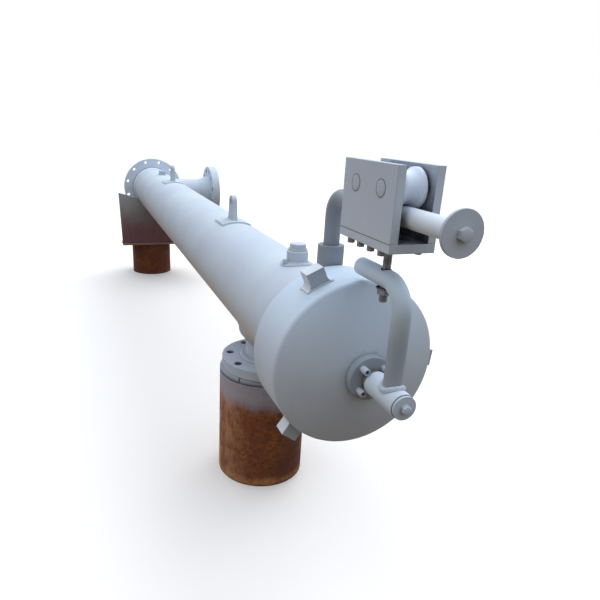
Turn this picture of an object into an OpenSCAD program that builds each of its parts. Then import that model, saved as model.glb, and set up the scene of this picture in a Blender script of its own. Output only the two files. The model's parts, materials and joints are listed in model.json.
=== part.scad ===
// Pipeline pig launcher: a flanged barrel with a screwed end cap that hangs from a davit trolley.
// Millimetres, +Z up, +Y along the barrel towards its outlet. The origin is on the ground, at the
// middle of the launcher's box.

/* [Barrel] */
// Outside diameter of the barrel pipe
barrel_od = 323.9; // [300:0.1:360]
// Wall thickness of the barrel pipe
barrel_wall = 9.5; // [6:0.5:16]
// Length of the barrel pipe between the closure hub and the outlet flange
barrel_len = 3560; // [3000:10:4400]
// Height of the barrel's axis above the ground
axis_h = 711; // [680:1:860]

/* [Outlet flange] */
// Outside diameter of the outlet flange
outlet_od = 482.6; // [460:0.1:560]
// Thickness of the outlet flange's plate
outlet_t = 31.8; // [24:0.1:50]
// Length of the tapered weld neck behind the plate
outlet_neck_len = 82.5; // [60:0.5:120]
// Diameter of the weld neck where it meets the plate
outlet_neck_od = 336; // [330:1:390]
// Diameter of the bolt circle
outlet_pcd = 431.8; // [415:0.1:440]
// Number of bolt holes
outlet_holes = 12; // [8:4:16]
// Diameter of each bolt hole
outlet_hole_d = 25.4; // [18:0.1:30]
// Diameter of the raised sealing face
outlet_face_od = 381; // [350:1:390]
// Height of the raised sealing face
raised_face = 1.6; // [1:0.1:6]

/* [Closure] */
// Thickness of the closure hub's screwed band
hub_wall = 32; // [24:1:40]
// Length of the cap from its front corner to the back of its skirt
cap_len = 161; // [150:1:180]
// Thickness of the cap's front wall at its corner
cap_plate = 44; // [36:1:60]
// Thickness of the cap's skirt
cap_skirt = 34; // [25:1:42]
// Radius of the cap's rounded front corner
cap_round = 13; // [8:1:30]
// Radius of the cap's domed front
cap_dome_r = 440; // [340:10:900]
// Distance from the back of the cap's skirt to the start of the barrel pipe
hub_setback = 5; // [3:1:12]
// Length of the hub's screwed band inside the cap
hub_thread_len = 60; // [40:1:70]
// Clearance between the hub's screwed band and the cap
thread_gap = 0.3; // [0.2:0.1:1]
// Width of a hammer lug, round the cap
lug_w = 47; // [30:1:60]
// Height of a hammer lug above the cap
lug_h = 41; // [30:1:60]
// Depth of a hammer lug along the barrel
lug_d = 44; // [24:1:50]
// Radius of the flare at each side of a hammer lug's foot
lug_flare = 14; // [6:1:20]
// Distance from the cap's front corner to the middle of its lugs
lug_y = 74; // [70:1:95]
// Direction of the first hammer lug, round the cap from +X
lug_turn = -5.5; // [-20:0.5:20]

/* [Cap bearing] */
// Diameter of the flange bolted to the middle of the cap
hub_flange_od = 111; // [100:1:130]
// Thickness of that flange
hub_flange_t = 24; // [14:1:30]
// Diameter of the pivot shaft
shaft_d = 40; // [30:1:44]
// Running clearance of the shaft in its sleeve, on the radius
shaft_clear = 0.05; // [0.02:0.01:0.1]
// Diameter of the shaft's shoulder next to the flange
shoulder_d = 52; // [48:1:60]
// Length of the shaft's shoulder
shoulder_len = 20; // [15:1:40]
// Outside diameter of the bearing sleeve
sleeve_od = 60; // [54:1:70]
// Length of the bearing sleeve
sleeve_len = 119; // [112:1:150]
// End play of the sleeve between the shoulder and the end cap, each side
end_play = 0.4; // [0.2:0.1:0.8]
// Diameter of the disc that keeps the sleeve on the shaft
end_cap_d = 56; // [48:1:60]
// Thickness of that disc
end_cap_t = 8; // [5:1:14]

/* [Swing arm] */
// Outside diameter of the arm's bent tube
arm_od = 42.4; // [36:0.1:50]
// Wall thickness of the arm's tube
arm_wall = 3.6; // [2.5:0.1:6]
// Radius of the arm's bend, on its middle line
arm_bend_r = 64; // [50:1:80]
// Height of the arm's upper leg above the cap
arm_gap = 12; // [6:1:24]
// Distance of the arm's upright in front of the cap's corner
arm_y = 164; // [156:1:176]
// Length of the arm's straight upper leg
arm_leg_len = 125; // [110:1:146]

/* [Trolley] */
// Distance of the trolley's middle in front of the cap's corner
trolley_y = 60; // [54:1:66]
// Length of the trolley
trolley_len = 221; // [206:1:240]
// Width over the trolley's two side plates
trolley_w = 106; // [102:1:130]
// Thickness of each side plate
side_t = 18; // [12:1:20]
// Height of each side plate
side_h = 152; // [145:1:180]
// Thickness of the base plate under the side plates
base_t = 19; // [12:1:26]
// Height of the rail's axis above the base plate's top
rail_above_base = 49; // [45:1:60]
// Distance between the two axles
axle_pitch = 106; // [100:1:116]
// Diameter of each axle
axle_d = 35; // [28:1:40]
// Diameter of a roller over its rims
roller_d = 86; // [78:1:90]
// Diameter of a roller at the bottom of its groove
roller_groove_d = 65; // [58:0.5:70]
// Width of a roller
roller_w = 57; // [52:1:58]
// Clearance of the groove round the rail
groove_gap = 0.3; // [0.2:0.1:0.5]
// Distance of the hanger rod in front of the cap's corner
rod_front = 84; // [66:1:84]
// Diameter of the hanger rod
rod_d = 20; // [16:1:22]
// Height of the trolley's base plate above the swing arm
rod_reach = 52; // [44:1:70]
// Length of the hanger rod above its upper nut
rod_head = 4; // [2:1:6]
// Width across the flats of the hanger rod's nuts
nut_af = 30; // [28:1:36]
// Height of each nut on the hanger rod
nut_h = 16; // [12:1:18]
// Length of the hanger rod below the swing arm
rod_tail = 34; // [28:1:44]

/* [Davit] */
// Outside diameter of the davit's tube
rail_od = 42.4; // [38:0.1:46]
// Wall thickness of the davit's tube
rail_wall = 4.5; // [3:0.1:7]
// Distance from the cap's corner to the front end of the rail
rail_front = 308; // [304:1:380]
// Distance of the davit's socket behind the cap's skirt
post_gap_y = 4; // [3:1:30]
// Radius of the davit's bend, on its middle line
davit_bend_r = 48; // [44:1:70]
// Outside diameter of the post's socket
socket_od = 70; // [60:1:76]
// Height of the socket's rim above the barrel's crown
socket_h = 104; // [70:1:120]
// Thickness of the socket's floor above the barrel's crown
socket_floor = 8; // [6:1:14]
// Clearance of the post in its socket, on the radius
post_gap = 0.3; // [0.2:0.1:0.6]
// Diameter of the stop disc on the rail's front end
stop_d = 88; // [70:1:100]
// Thickness of the stop disc
stop_t = 7; // [4:1:12]

/* [Vent and bosses] */
// Distance of the vent behind the cap's corner
vent_y = 430; // [380:1:480]
// Diameter of the reinforcing pad under the vent
vent_pad_d = 96; // [84:1:140]
// Thickness of the vent's pad
vent_pad_t = 5; // [4:1:12]
// Diameter of the vent's boss
vent_d = 66; // [60:1:76]
// Height of the vent's boss above the barrel's crown
vent_h = 38; // [32:1:60]
// Diameter of the vent's bore
vent_bore = 38; // [30:1:40]
// Diameter of the plug in the vent
plug_d = 50; // [44:1:56]
// Height of the plug above the boss
plug_h = 21; // [14:1:30]
// Distance of the pig signal boss from the outlet flange's plate
signal_back = 560; // [520:1:640]
// Side of the square pig signal boss
signal_w = 46; // [36:1:60]
// Height of the pig signal boss above the barrel's crown
signal_h = 30; // [20:1:50]

/* [Lifting lugs] */
// Distance of the middle lifting lug behind the cap's corner
mid_lug_y = 1185; // [1000:5:1300]
// Distance of the far lifting lug from the outlet flange's plate
far_lug_back = 1048; // [900:1:1200]
// Thickness of a lifting lug's plate
lift_t = 20; // [12:1:25]
// Length of a lifting lug at its foot
lift_len = 86; // [70:1:110]
// Height of a lifting lug above its pad
lift_h = 100; // [80:1:120]
// Radius of a lifting lug's rounded top
lift_r = 28; // [24:1:34]
// Diameter of the eye in a lifting lug
lift_eye_d = 30; // [20:1:34]
// Length of the curved pad under a lifting lug, along the barrel
lift_pad_len = 136; // [110:1:200]
// Width of that pad, across the barrel
lift_pad_w = 122; // [90:1:180]
// Thickness of that pad
lift_pad_t = 6; // [4:1:16]

/* [Side nozzle] */
// Distance of the side nozzle's axis from the outlet flange's plate
side_back = 332; // [320:1:380]
// Outside diameter of the side nozzle's pipe
side_od = 219.1; // [190:0.1:230]
// Wall thickness of the side nozzle's pipe
side_wall = 8.2; // [6:0.1:14]
// Distance of the side flange's sealing face from the barrel's wall
side_stub = 300; // [280:1:360]
// Outside diameter of the side flange
side_flange_od = 419; // [400:1:440]
// Thickness of the side flange's plate
side_flange_t = 56; // [40:1:60]
// Length of the side flange's weld neck
side_neck_len = 78; // [60:1:90]
// Diameter of the side flange's weld neck at the plate
side_neck_od = 273; // [240:1:290]
// Diameter of the side flange's bolt circle
side_pcd = 349; // [330:1:360]
// Number of bolt holes in the side flange
side_holes = 12; // [8:4:16]
// Diameter of each bolt hole in the side flange
side_hole_d = 32; // [22:0.5:36]
// Diameter of the side flange's raised sealing face
side_face_od = 270; // [255:1:285]

/* [Drain nozzle] */
// Distance of the drain nozzle's axis behind the cap's corner
drain_y = 660; // [640:1:760]
// Outside diameter of the drain nozzle's pipe
drain_od = 168.3; // [150:0.1:180]
// Wall thickness of the drain nozzle's pipe
drain_wall = 7.1; // [5:0.1:12]
// Depth of the drain flange's lower face below the barrel's wall
drain_stub = 117; // [105:1:150]
// Outside diameter of the drain flange
drain_flange_od = 340; // [330:1:360]
// Thickness of the drain flange's plate
drain_flange_t = 34; // [24:0.5:42]
// Height of the drain flange's hub above its plate
drain_hub_h = 12; // [8:1:20]
// Diameter of the drain flange's hub
drain_hub_od = 200; // [190:1:214]
// Taper of the drain flange's hub, on the radius
drain_hub_taper = 4; // [1:1:8]
// Diameter of the drain flange's bolt circle
drain_pcd = 283; // [264:0.5:290]
// Number of bolt holes in the drain flange
drain_holes = 8; // [4:4:12]
// Diameter of each bolt hole in the drain flange
drain_hole_d = 28; // [20:0.5:32]

/* [Pedestals] */
// Outside diameter of the pedestal pipes
pedestal_od = 323.9; // [316:0.1:340]
// Wall thickness of the pedestal pipes
pedestal_wall = 9.5; // [6:0.5:16]
// Diameter of the bar that packs the drain flange on the near pedestal
packing_d = 22; // [8:1:28]
// Angle of the gap where the packing bar's ends stop short
packing_gap_a = 2; // [1:0.5:30]
// Direction of that gap, round the pedestal from +X
packing_turn = 220; // [180:1:300]
// Distance of the near pedestal's middle from the drain's axis, to the left
near_pedestal_shift = 17; // [0:1:24]
// Distance of the far pedestal's middle from the outlet flange's plate
far_pedestal_back = 60; // [40:1:90]
// Distance of the far pedestal's middle from the barrel's axis, to the left
far_pedestal_shift = 42; // [0:1:90]

/* [Saddle] */
// Distance of the saddle web from the outlet flange's plate
saddle_back = 195; // [180:1:205]
// Thickness of the saddle web
saddle_t = 16; // [10:1:24]
// Width of the saddle web at its top
saddle_top_w = 616; // [540:1:640]
// Width of the saddle web at its foot
saddle_foot_w = 588; // [500:1:620]
// Depth of the saddle web's top corners below the barrel's axis
saddle_drop = 18; // [12:1:60]
// Fall of that top edge from its corners to the barrel
saddle_slope = 42; // [0:1:60]
// Height of the far pedestal
far_pedestal_h = 262; // [220:1:300]
// Thickness of the saddle's base plate
saddle_base_t = 12; // [8:1:20]
// Depth of the saddle's base plate, along the barrel
saddle_base_d = 140; // [110:1:360]
// Distance of the base plate's front edge in front of the saddle web
saddle_lip = 25; // [10:1:40]

/* [Hidden] */
$fn = 96;

paint = "lightsteelblue";
rust = "sienna";
steel = "dimgray";

// Clearance of a welded or seated curved face
weld_gap = 0.3;
// Overlap of a cutting tool past the face it cuts
cut = 1;
// Width of the flat rim round the hub flange on the cap's dome
seat_rim = 4;
// Chamfer of small turned edges
small_chamfer = 2;

barrel_r = barrel_od / 2;
bore_r = barrel_r - barrel_wall;
hub_front = cap_plate + thread_gap;
barrel_start = cap_len - hub_setback;
barrel_end = barrel_start + barrel_len;
outlet_back = barrel_end + outlet_neck_len;
outlet_face = outlet_back + outlet_t + raised_face;

hub_r = bore_r + hub_wall;
cap_bore_r = hub_r + thread_gap;
cap_r = cap_bore_r + cap_skirt;
lug_count = 3;

// The dome's centre, where it runs into the rounded corner, and the flat seat at its middle
corner_r = cap_r - cap_round;
dome_y = cap_round + sqrt((cap_dome_r - cap_round) ^ 2 - corner_r ^ 2);
dome_edge = corner_r * cap_dome_r / (cap_dome_r - cap_round);
seat_r = hub_flange_od / 2 + seat_rim;
seat = sqrt(cap_dome_r ^ 2 - seat_r ^ 2) - dome_y;

flange_front = seat + hub_flange_t;
shoulder_end = flange_front + shoulder_len;
sleeve_start = shoulder_end + end_play;
sleeve_end = sleeve_start + sleeve_len;
shaft_end = sleeve_end + end_play;
sleeve_bore_r = shaft_d / 2 + shaft_clear;

rail_r = rail_od / 2;
groove_r = roller_groove_d / 2;
arm_r = arm_od / 2;
arm_leg_h = cap_r + arm_gap + arm_r;
base_bottom = arm_leg_h + arm_r + rod_reach;
base_top = base_bottom + base_t;
rail_h = base_top + rail_above_base;
axle_h = rail_h + rail_r + groove_gap + groove_r;
post_y = cap_len + post_gap_y + socket_od / 2;
front_axle_y = -trolley_y - axle_pitch / 2;
rear_axle_y = -trolley_y + axle_pitch / 2;
side_x = (trolley_w - side_t) / 2;

arm_bottom = arm_leg_h - arm_r;
nut_top = arm_bottom - weld_gap;
rod_bottom = arm_bottom - rod_tail;
rod_top = base_top + nut_h + rod_head;
rod_gap = 0.3;

pad_r = barrel_r + weld_gap;
signal_y = outlet_back - signal_back;
side_y = outlet_back - side_back;
far_lug_y = outlet_back - far_lug_back;
side_reach = barrel_r + side_stub;
side_pipe_end = side_reach - raised_face - side_flange_t - side_neck_len;

drain_depth = barrel_r + drain_stub;
near_pedestal_top = -drain_depth - packing_d;
far_pedestal_top = far_pedestal_h - axis_h;
saddle_foot = far_pedestal_top + saddle_base_t;
saddle_y = outlet_back - saddle_back;
saddle_base_front = saddle_y - saddle_t / 2 - saddle_lip;
far_pedestal_y = outlet_back - far_pedestal_back;

// The launcher's box, which sets the origin
saddle_left = max(saddle_top_w, saddle_foot_w) / 2;
far_pedestal_left = far_pedestal_shift + pedestal_od / 2;
box_left = -max(saddle_left, far_pedestal_left, cap_r + lug_h, outlet_od / 2);
box_right = max(side_reach, saddle_left, cap_r + lug_h);
box_front = -max(rail_front + stop_t, shaft_end + end_cap_t);
far_pedestal_back_y = far_pedestal_y + pedestal_od / 2;
saddle_base_back = saddle_base_front + saddle_base_d;
box_back = max(outlet_face, side_y + side_flange_od / 2, far_pedestal_back_y, saddle_base_back);
box_mid = [(box_left + box_right) / 2, (box_front + box_back) / 2];

// From the barrel's own frame, on its axis at the cap's corner, to the ground
module place() translate([-box_mid[0], -box_mid[1], axis_h]) children();

// A solid of revolution about the barrel's axis, from a profile of radius and distance along +Y
module turn_y() rotate([-90, 0, 0]) rotate_extrude() children();

// A cylinder along +Y, starting at y
module rod_y(r, y, len) translate([0, y, 0]) rotate([-90, 0, 0]) cylinder(r = r, h = len);

// A cylinder along +X, starting at x
module rod_x(r, x, len) translate([x, 0, 0]) rotate([0, 90, 0]) cylinder(r = r, h = len);

// A ring of holes along +Z that straddles the centre lines
module hole_ring(count, pcd, d, len) {
  for (i = [0 : count - 1])
    rotate([0, 0, (i + 0.5) * 360 / count])
      translate([pcd / 2, 0, 0])
        cylinder(d = d, h = len);
}

// A weld-neck flange along +Z: neck, plate, raised face and bore
module neck_flange(pipe_r, bore, neck_r, neck_len, plate_r, plate_t, face_r, face_h, pcd, count, d) {
  plate_top = neck_len + plate_t;
  difference() {
    rotate_extrude()
      polygon([
        [bore, 0], [pipe_r, 0], [neck_r, neck_len], [plate_r, neck_len], [plate_r, plate_top],
        [face_r, plate_top], [face_r, plate_top + face_h], [bore, plate_top + face_h]
      ]);
    translate([0, 0, neck_len - cut])
      hole_ring(count, pcd, d, plate_t + 2 * cut);
  }
}

// A quarter bend of tube in the YZ plane, from behind its centre up to over it
module tube_bend(r_out, r_in, bend_r) {
  rotate([90, 0, 90])
    rotate_extrude(angle = 90)
      translate([bend_r, 0])
        difference() {
          circle(r = r_out);
          circle(r = r_in);
        }
}

// A straight tube along +Z
module tube(r_out, r_in, len) {
  difference() {
    cylinder(r = r_out, h = len);
    translate([0, 0, -cut])
      cylinder(r = r_in, h = len + 2 * cut);
  }
}

// A curved plate that lies on the barrel's crown, cut from the pipe's own curve
module crown_pad(t) {
  intersection() {
    children();
    turn_y()
      translate([pad_r, 0])
        square([t, outlet_face]);
  }
}

module barrel() {
  color(paint)
    place()
      difference() {
        turn_y()
          translate([bore_r, barrel_start])
            square([barrel_wall, barrel_len]);
        translate([0, side_y, 0])
          rod_x(side_od / 2 + weld_gap, 0, barrel_od);
        translate([0, drain_y, -barrel_od])
          cylinder(r = drain_od / 2 + weld_gap, h = barrel_od);
        translate([0, vent_y, 0])
          cylinder(d = vent_bore, h = barrel_od);
      }
}

// The screwed end ring that the cap closes on
module closure_hub() {
  thread_end = hub_front + hub_thread_len;
  color(steel)
    place()
      turn_y()
        polygon([
          [bore_r, hub_front], [hub_r, hub_front], [hub_r, thread_end],
          [barrel_r, barrel_start], [bore_r, barrel_start]
        ]);
}

module outlet_flange() {
  color(paint)
    place()
      translate([0, barrel_end, 0])
        rotate([-90, 0, 0])
          neck_flange(barrel_r, bore_r, outlet_neck_od / 2, outlet_neck_len, outlet_od / 2, outlet_t,
                      outlet_face_od / 2, raised_face, outlet_pcd, outlet_holes, outlet_hole_d);
}

// The side branch, from the barrel's wall to its flange
module side_nozzle() {
  color(paint)
    place()
      difference() {
        translate([0, side_y, 0])
          rotate([0, 90, 0])
            tube(side_od / 2, side_od / 2 - side_wall, side_pipe_end);
        rod_y(bore_r, side_y - side_od, 2 * side_od);
      }
}

module side_nozzle_flange() {
  color(paint)
    place()
      translate([side_pipe_end, side_y, 0])
        rotate([0, 90, 0])
          neck_flange(side_od / 2, side_od / 2 - side_wall, side_neck_od / 2, side_neck_len,
                      side_flange_od / 2, side_flange_t, side_face_od / 2, raised_face,
                      side_pcd, side_holes, side_hole_d);
}

module drain_nozzle() {
  color(paint)
    place()
      difference() {
        translate([0, drain_y, -drain_depth])
          tube(drain_od / 2, drain_od / 2 - drain_wall, drain_depth);
        rod_y(bore_r, drain_y - drain_od, 2 * drain_od);
      }
}

// A slip-on flange with a low hub, hub upwards
module drain_flange() {
  drain_bore_r = drain_od / 2 + weld_gap;
  color(paint)
    place()
      translate([0, drain_y, -drain_depth])
        difference() {
          rotate_extrude()
            polygon([
              [drain_bore_r, 0], [drain_flange_od / 2, 0], [drain_flange_od / 2, drain_flange_t],
              [drain_hub_od / 2, drain_flange_t],
              [drain_hub_od / 2 - drain_hub_taper, drain_flange_t + drain_hub_h],
              [drain_bore_r, drain_flange_t + drain_hub_h]
            ]);
          translate([0, 0, -cut])
            hole_ring(drain_holes, drain_pcd, drain_hole_d, drain_flange_t + 2 * cut);
        }
}

module vent_pad() {
  color(paint)
    place()
      crown_pad(vent_pad_t)
        translate([0, vent_y, 0])
          tube(vent_pad_d / 2, vent_d / 2 + weld_gap, barrel_od);
}

// A half coupling with a chamfered rim, set on the barrel's crown
module vent_boss() {
  vent_top = barrel_r + vent_h;
  vent_chamfer = 3;
  color(paint)
    place()
      difference() {
        translate([0, vent_y, 0])
          rotate_extrude()
            polygon([
              [vent_bore / 2, 0], [vent_d / 2, 0], [vent_d / 2, vent_top - vent_chamfer],
              [vent_d / 2 - vent_chamfer, vent_top], [vent_bore / 2, vent_top]
            ]);
        rod_y(pad_r, vent_y - vent_d, 2 * vent_d);
      }
}

// A plug with a collar that closes the vent
module vent_plug() {
  plug_collar_h = 6;
  plug_stem_len = 20;
  plug_gap = 0.3;
  collar_r = vent_d / 2 - 2 * small_chamfer;
  color(paint)
    place()
      translate([0, vent_y, barrel_r + vent_h])
        rotate_extrude()
          polygon([
            [0, -plug_stem_len], [vent_bore / 2 - plug_gap, -plug_stem_len],
            [vent_bore / 2 - plug_gap, 0], [collar_r, 0], [collar_r, plug_collar_h],
            [plug_d / 2, plug_collar_h], [plug_d / 2, plug_h - small_chamfer],
            [plug_d / 2 - small_chamfer, plug_h], [0, plug_h]
          ]);
}

// A square boss for a pig signal, saddled on the barrel's crown
module signal_boss() {
  color(paint)
    place()
      difference() {
        translate([-signal_w / 2, signal_y - signal_w / 2, 0])
          cube([signal_w, signal_w, barrel_r + signal_h]);
        rod_y(pad_r, signal_y - signal_w, 2 * signal_w);
      }
}

module lug_pad(y) {
  crown_pad(lift_pad_t)
    translate([-lift_pad_w / 2, y - lift_pad_len / 2, 0])
      cube([lift_pad_w, lift_pad_len, barrel_od]);
}

// A plate along the barrel with a rounded top and an eye, saddled on its pad
module lifting_lug(y) {
  foot = pad_r + lift_pad_t + weld_gap;
  eye_h = foot + lift_h - lift_r;
  difference() {
    translate([-lift_t / 2, y, 0])
      rotate([90, 0, 90])
        linear_extrude(lift_t)
          difference() {
            union() {
              translate([0, eye_h])
                circle(r = lift_r);
              polygon([
                [-lift_len / 2, foot - lift_t], [lift_len / 2, foot - lift_t],
                [lift_r, eye_h], [-lift_r, eye_h]
              ]);
            }
            translate([0, eye_h])
              circle(d = lift_eye_d);
          }
    rod_y(foot, y - lift_len, 2 * lift_len);
  }
}

module mid_lug_pad() color(paint) place() lug_pad(mid_lug_y);

module mid_lifting_lug() color(paint) place() lifting_lug(mid_lug_y);

module far_lug_pad() color(paint) place() lug_pad(far_lug_y);

module far_lifting_lug() color(paint) place() lifting_lug(far_lug_y);

// The sleeve that the davit's post stands in, saddled on the barrel's crown
module davit_socket() {
  floor_h = barrel_r + socket_floor;
  color(paint)
    place()
      difference() {
        translate([0, post_y, 0])
          cylinder(d = socket_od, h = barrel_r + socket_h);
        translate([0, post_y, floor_h])
          cylinder(r = rail_r + post_gap, h = socket_h);
        rod_y(pad_r, post_y - socket_od, 2 * socket_od);
      }
}

// One bent tube: the post, the bend and the rail over the cap
module davit_tube() {
  post_foot = barrel_r + socket_floor;
  bend_y = post_y - davit_bend_r;
  bend_z = rail_h - davit_bend_r;
  rail_in = rail_r - rail_wall;
  color(paint)
    place() {
      translate([0, post_y, post_foot])
        tube(rail_r, rail_in, bend_z - post_foot);
      translate([0, bend_y, bend_z])
        tube_bend(rail_r, rail_in, davit_bend_r);
      translate([0, bend_y, rail_h])
        rotate([90, 0, 0])
          tube(rail_r, rail_in, bend_y + rail_front);
    }
}

// The disc on the rail's end that the trolley can't pass
module rail_stop() {
  color(paint)
    place()
      translate([0, 0, rail_h])
        rod_y(stop_d / 2, -rail_front - stop_t, stop_t);
}

// A bar bent round to pack the drain flange on the pedestal, its ends not quite meeting
module packing_ring() {
  packing_r = (pedestal_od - packing_d) / 2;
  color(paint)
    place()
      translate([-near_pedestal_shift, drain_y, near_pedestal_top])
        rotate([0, 0, packing_turn + packing_gap_a / 2])
          rotate_extrude(angle = 360 - packing_gap_a)
            translate([packing_r, packing_d / 2])
              circle(d = packing_d);
}

module pedestal_pipe(h) tube(pedestal_od / 2, pedestal_od / 2 - pedestal_wall, h);

module near_pedestal() {
  color(rust)
    place()
      translate([-near_pedestal_shift, drain_y, -axis_h])
        pedestal_pipe(near_pedestal_top + axis_h);
}

module far_pedestal() {
  color(rust)
    place()
      translate([-far_pedestal_shift, far_pedestal_y, -axis_h])
        pedestal_pipe(far_pedestal_h);
}

// An upright plate, wider at its top, cut out for the lower half of the barrel
module saddle_web() {
  color(rust)
    place()
      difference() {
        translate([0, saddle_y + saddle_t / 2, 0])
          rotate([90, 0, 0])
            linear_extrude(saddle_t)
              polygon([
                [-saddle_foot_w / 2, saddle_foot], [saddle_foot_w / 2, saddle_foot],
                [saddle_top_w / 2, -saddle_drop], [barrel_r, -saddle_drop - saddle_slope],
                [-barrel_r, -saddle_drop - saddle_slope], [-saddle_top_w / 2, -saddle_drop]
              ]);
        rod_y(pad_r, saddle_y - saddle_t, 2 * saddle_t);
      }
}

module saddle_base_plate() {
  color(rust)
    place()
      translate([-saddle_foot_w / 2, saddle_base_front, far_pedestal_top])
        cube([saddle_foot_w, saddle_base_d, saddle_base_t]);
}

// One of the trolley's side plates, with its two axle holes
module side_plate(x) {
  difference() {
    translate([x - side_t / 2, -trolley_y - trolley_len / 2, base_top])
      cube([side_t, trolley_len, side_h]);
    for (y = [front_axle_y, rear_axle_y])
      translate([0, y, axle_h])
        rod_x(axle_d / 2 + weld_gap, x - side_t, 2 * side_t);
  }
}

module trolley_left_plate() color(paint) place() side_plate(-side_x);

module trolley_right_plate() color(paint) place() side_plate(side_x);

module trolley_base_plate() {
  color(paint)
    place()
      difference() {
        translate([-trolley_w / 2, -trolley_y - trolley_len / 2, base_bottom])
          cube([trolley_w, trolley_len, base_t]);
        translate([0, -rod_front, base_bottom - cut])
          cylinder(r = rod_d / 2 + rod_gap, h = base_t + 2 * cut);
      }
}

module axle(y) translate([0, y, axle_h]) rod_x(axle_d / 2, -trolley_w / 2, trolley_w);

module front_axle() color(steel) place() axle(front_axle_y);

module rear_axle() color(steel) place() axle(rear_axle_y);

// The rod that the swing arm hangs from
module hanger_rod() {
  color(steel)
    place()
      translate([0, -rod_front, rod_bottom])
        cylinder(d = rod_d, h = rod_top - rod_bottom);
}

// A hexagon nut round the hanger rod
module rod_nut(z) {
  translate([0, -rod_front, z])
    difference() {
      cylinder(d = nut_af / cos(30), h = nut_h, $fn = 6);
      translate([0, 0, -cut])
        cylinder(r = rod_d / 2 + rod_gap, h = nut_h + 2 * cut);
    }
}

// The nut on the trolley's base plate and the one under the arm
module hanger_nuts() {
  color(steel)
    place() {
      rod_nut(base_top);
      rod_nut(nut_top - nut_h);
    }
}

// A bent tube from the bearing sleeve up and back over the cap, drilled for the hanger rod
module swing_arm() {
  bend_y = -arm_y + arm_bend_r;
  bend_z = arm_leg_h - arm_bend_r;
  arm_in = arm_r - arm_wall;
  color(paint)
    place()
      difference() {
        union() {
          translate([0, -arm_y, 0])
            tube(arm_r, arm_in, bend_z);
          translate([0, bend_y, bend_z])
            mirror([0, 1, 0])
              tube_bend(arm_r, arm_in, arm_bend_r);
          translate([0, bend_y, arm_leg_h])
            rotate([-90, 0, 0])
              tube(arm_r, arm_in, arm_leg_len);
        }
        rod_y(sleeve_od / 2 + weld_gap, -arm_y - arm_od, 2 * arm_od);
        translate([0, -rod_front, arm_leg_h - arm_od])
          cylinder(r = rod_d / 2 + rod_gap, h = 2 * arm_od);
      }
}

module bearing_sleeve() {
  color(paint)
    place()
      translate([0, -sleeve_end, 0])
        rotate([-90, 0, 0])
          tube(sleeve_od / 2, sleeve_bore_r, sleeve_len);
}

// A wheel with an hourglass groove that fits the round rail
module roller(y) {
  translate([0, y, axle_h])
    rotate([0, 90, 0])
      rotate_extrude()
        difference() {
          translate([axle_d / 2 + shaft_clear, -roller_w / 2])
            square([roller_d / 2 - axle_d / 2 - shaft_clear, roller_w]);
          translate([groove_r + groove_gap + rail_r, 0])
            circle(r = rail_r + groove_gap);
        }
}

module front_roller() color(steel) place() roller(front_axle_y);

module rear_roller() color(steel) place() roller(rear_axle_y);

// The screwed cap: a domed front with a flat seat at its middle, a rounded corner and a plain skirt
module closure_cap() {
  color(paint)
    place()
      turn_y()
        difference() {
          union() {
            translate([0, cap_round])
              square([cap_r, cap_len - cap_round]);
            translate([corner_r, cap_round])
              circle(r = cap_round);
            intersection() {
              translate([0, dome_y])
                circle(r = cap_dome_r);
              translate([0, -seat])
                square([dome_edge, seat + cap_round]);
            }
          }
          translate([0, cap_plate])
            square([cap_bore_r, cap_len]);
        }
}

// A block on the cap's skirt to swing a hammer against, flared at its foot
module hammer_lug(i) {
  lug_top = cap_r + lug_h;
  foot_w = lug_w + 2 * lug_flare;
  flare_top = cap_r + lug_flare;
  place()
    rotate([0, -lug_turn - i * 360 / lug_count, 0])
      translate([0, lug_y + lug_d / 2, 0])
        difference() {
          rotate([90, 0, 0])
            linear_extrude(lug_d)
              difference() {
                union() {
                  translate([0, -lug_w / 2])
                    square([lug_top, lug_w]);
                  translate([0, -foot_w / 2])
                    square([flare_top, foot_w]);
                }
                for (side = [-1, 1])
                  translate([flare_top, side * foot_w / 2])
                    circle(r = lug_flare);
              }
          rod_y(cap_r + weld_gap, -2 * lug_d, 4 * lug_d);
        }
}

module hammer_lug_1() color(paint) hammer_lug(0);

module hammer_lug_2() color(paint) hammer_lug(1);

module hammer_lug_3() color(paint) hammer_lug(2);

// The flange that bolts the pivot shaft to the cap
module hub_flange() {
  color(paint)
    place()
      translate([0, -flange_front, 0])
        rotate([-90, 0, 0])
          tube(hub_flange_od / 2, shaft_d / 2 + weld_gap, hub_flange_t);
}

// The shaft that carries the cap in the bearing sleeve
module pivot_shaft() {
  color(steel)
    place()
      turn_y()
        polygon([
          [0, -seat], [shaft_d / 2, -seat], [shaft_d / 2, -flange_front], [shoulder_d / 2, -flange_front],
          [shoulder_d / 2, -shoulder_end], [shaft_d / 2, -shoulder_end], [shaft_d / 2, -shaft_end],
          [0, -shaft_end]
        ]);
}

module sleeve_end_cap() color(paint) place() rod_y(end_cap_d / 2, -shaft_end - end_cap_t, end_cap_t);

barrel();
closure_hub();
outlet_flange();
side_nozzle();
side_nozzle_flange();
drain_nozzle();
drain_flange();
vent_pad();
vent_boss();
vent_plug();
mid_lug_pad();
mid_lifting_lug();
far_lug_pad();
far_lifting_lug();
signal_boss();
davit_socket();
davit_tube();
rail_stop();
packing_ring();
near_pedestal();
far_pedestal();
saddle_web();
saddle_base_plate();
trolley_left_plate();
trolley_right_plate();
trolley_base_plate();
front_axle();
rear_axle();
hanger_rod();
hanger_nuts();
swing_arm();
bearing_sleeve();
front_roller();
rear_roller();
closure_cap();
hammer_lug_1();
hammer_lug_2();
hammer_lug_3();
hub_flange();
pivot_shaft();
sleeve_end_cap();
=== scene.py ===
import json
import math

import bmesh
import bpy
import numpy as np
from mathutils import Matrix, Vector


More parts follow.
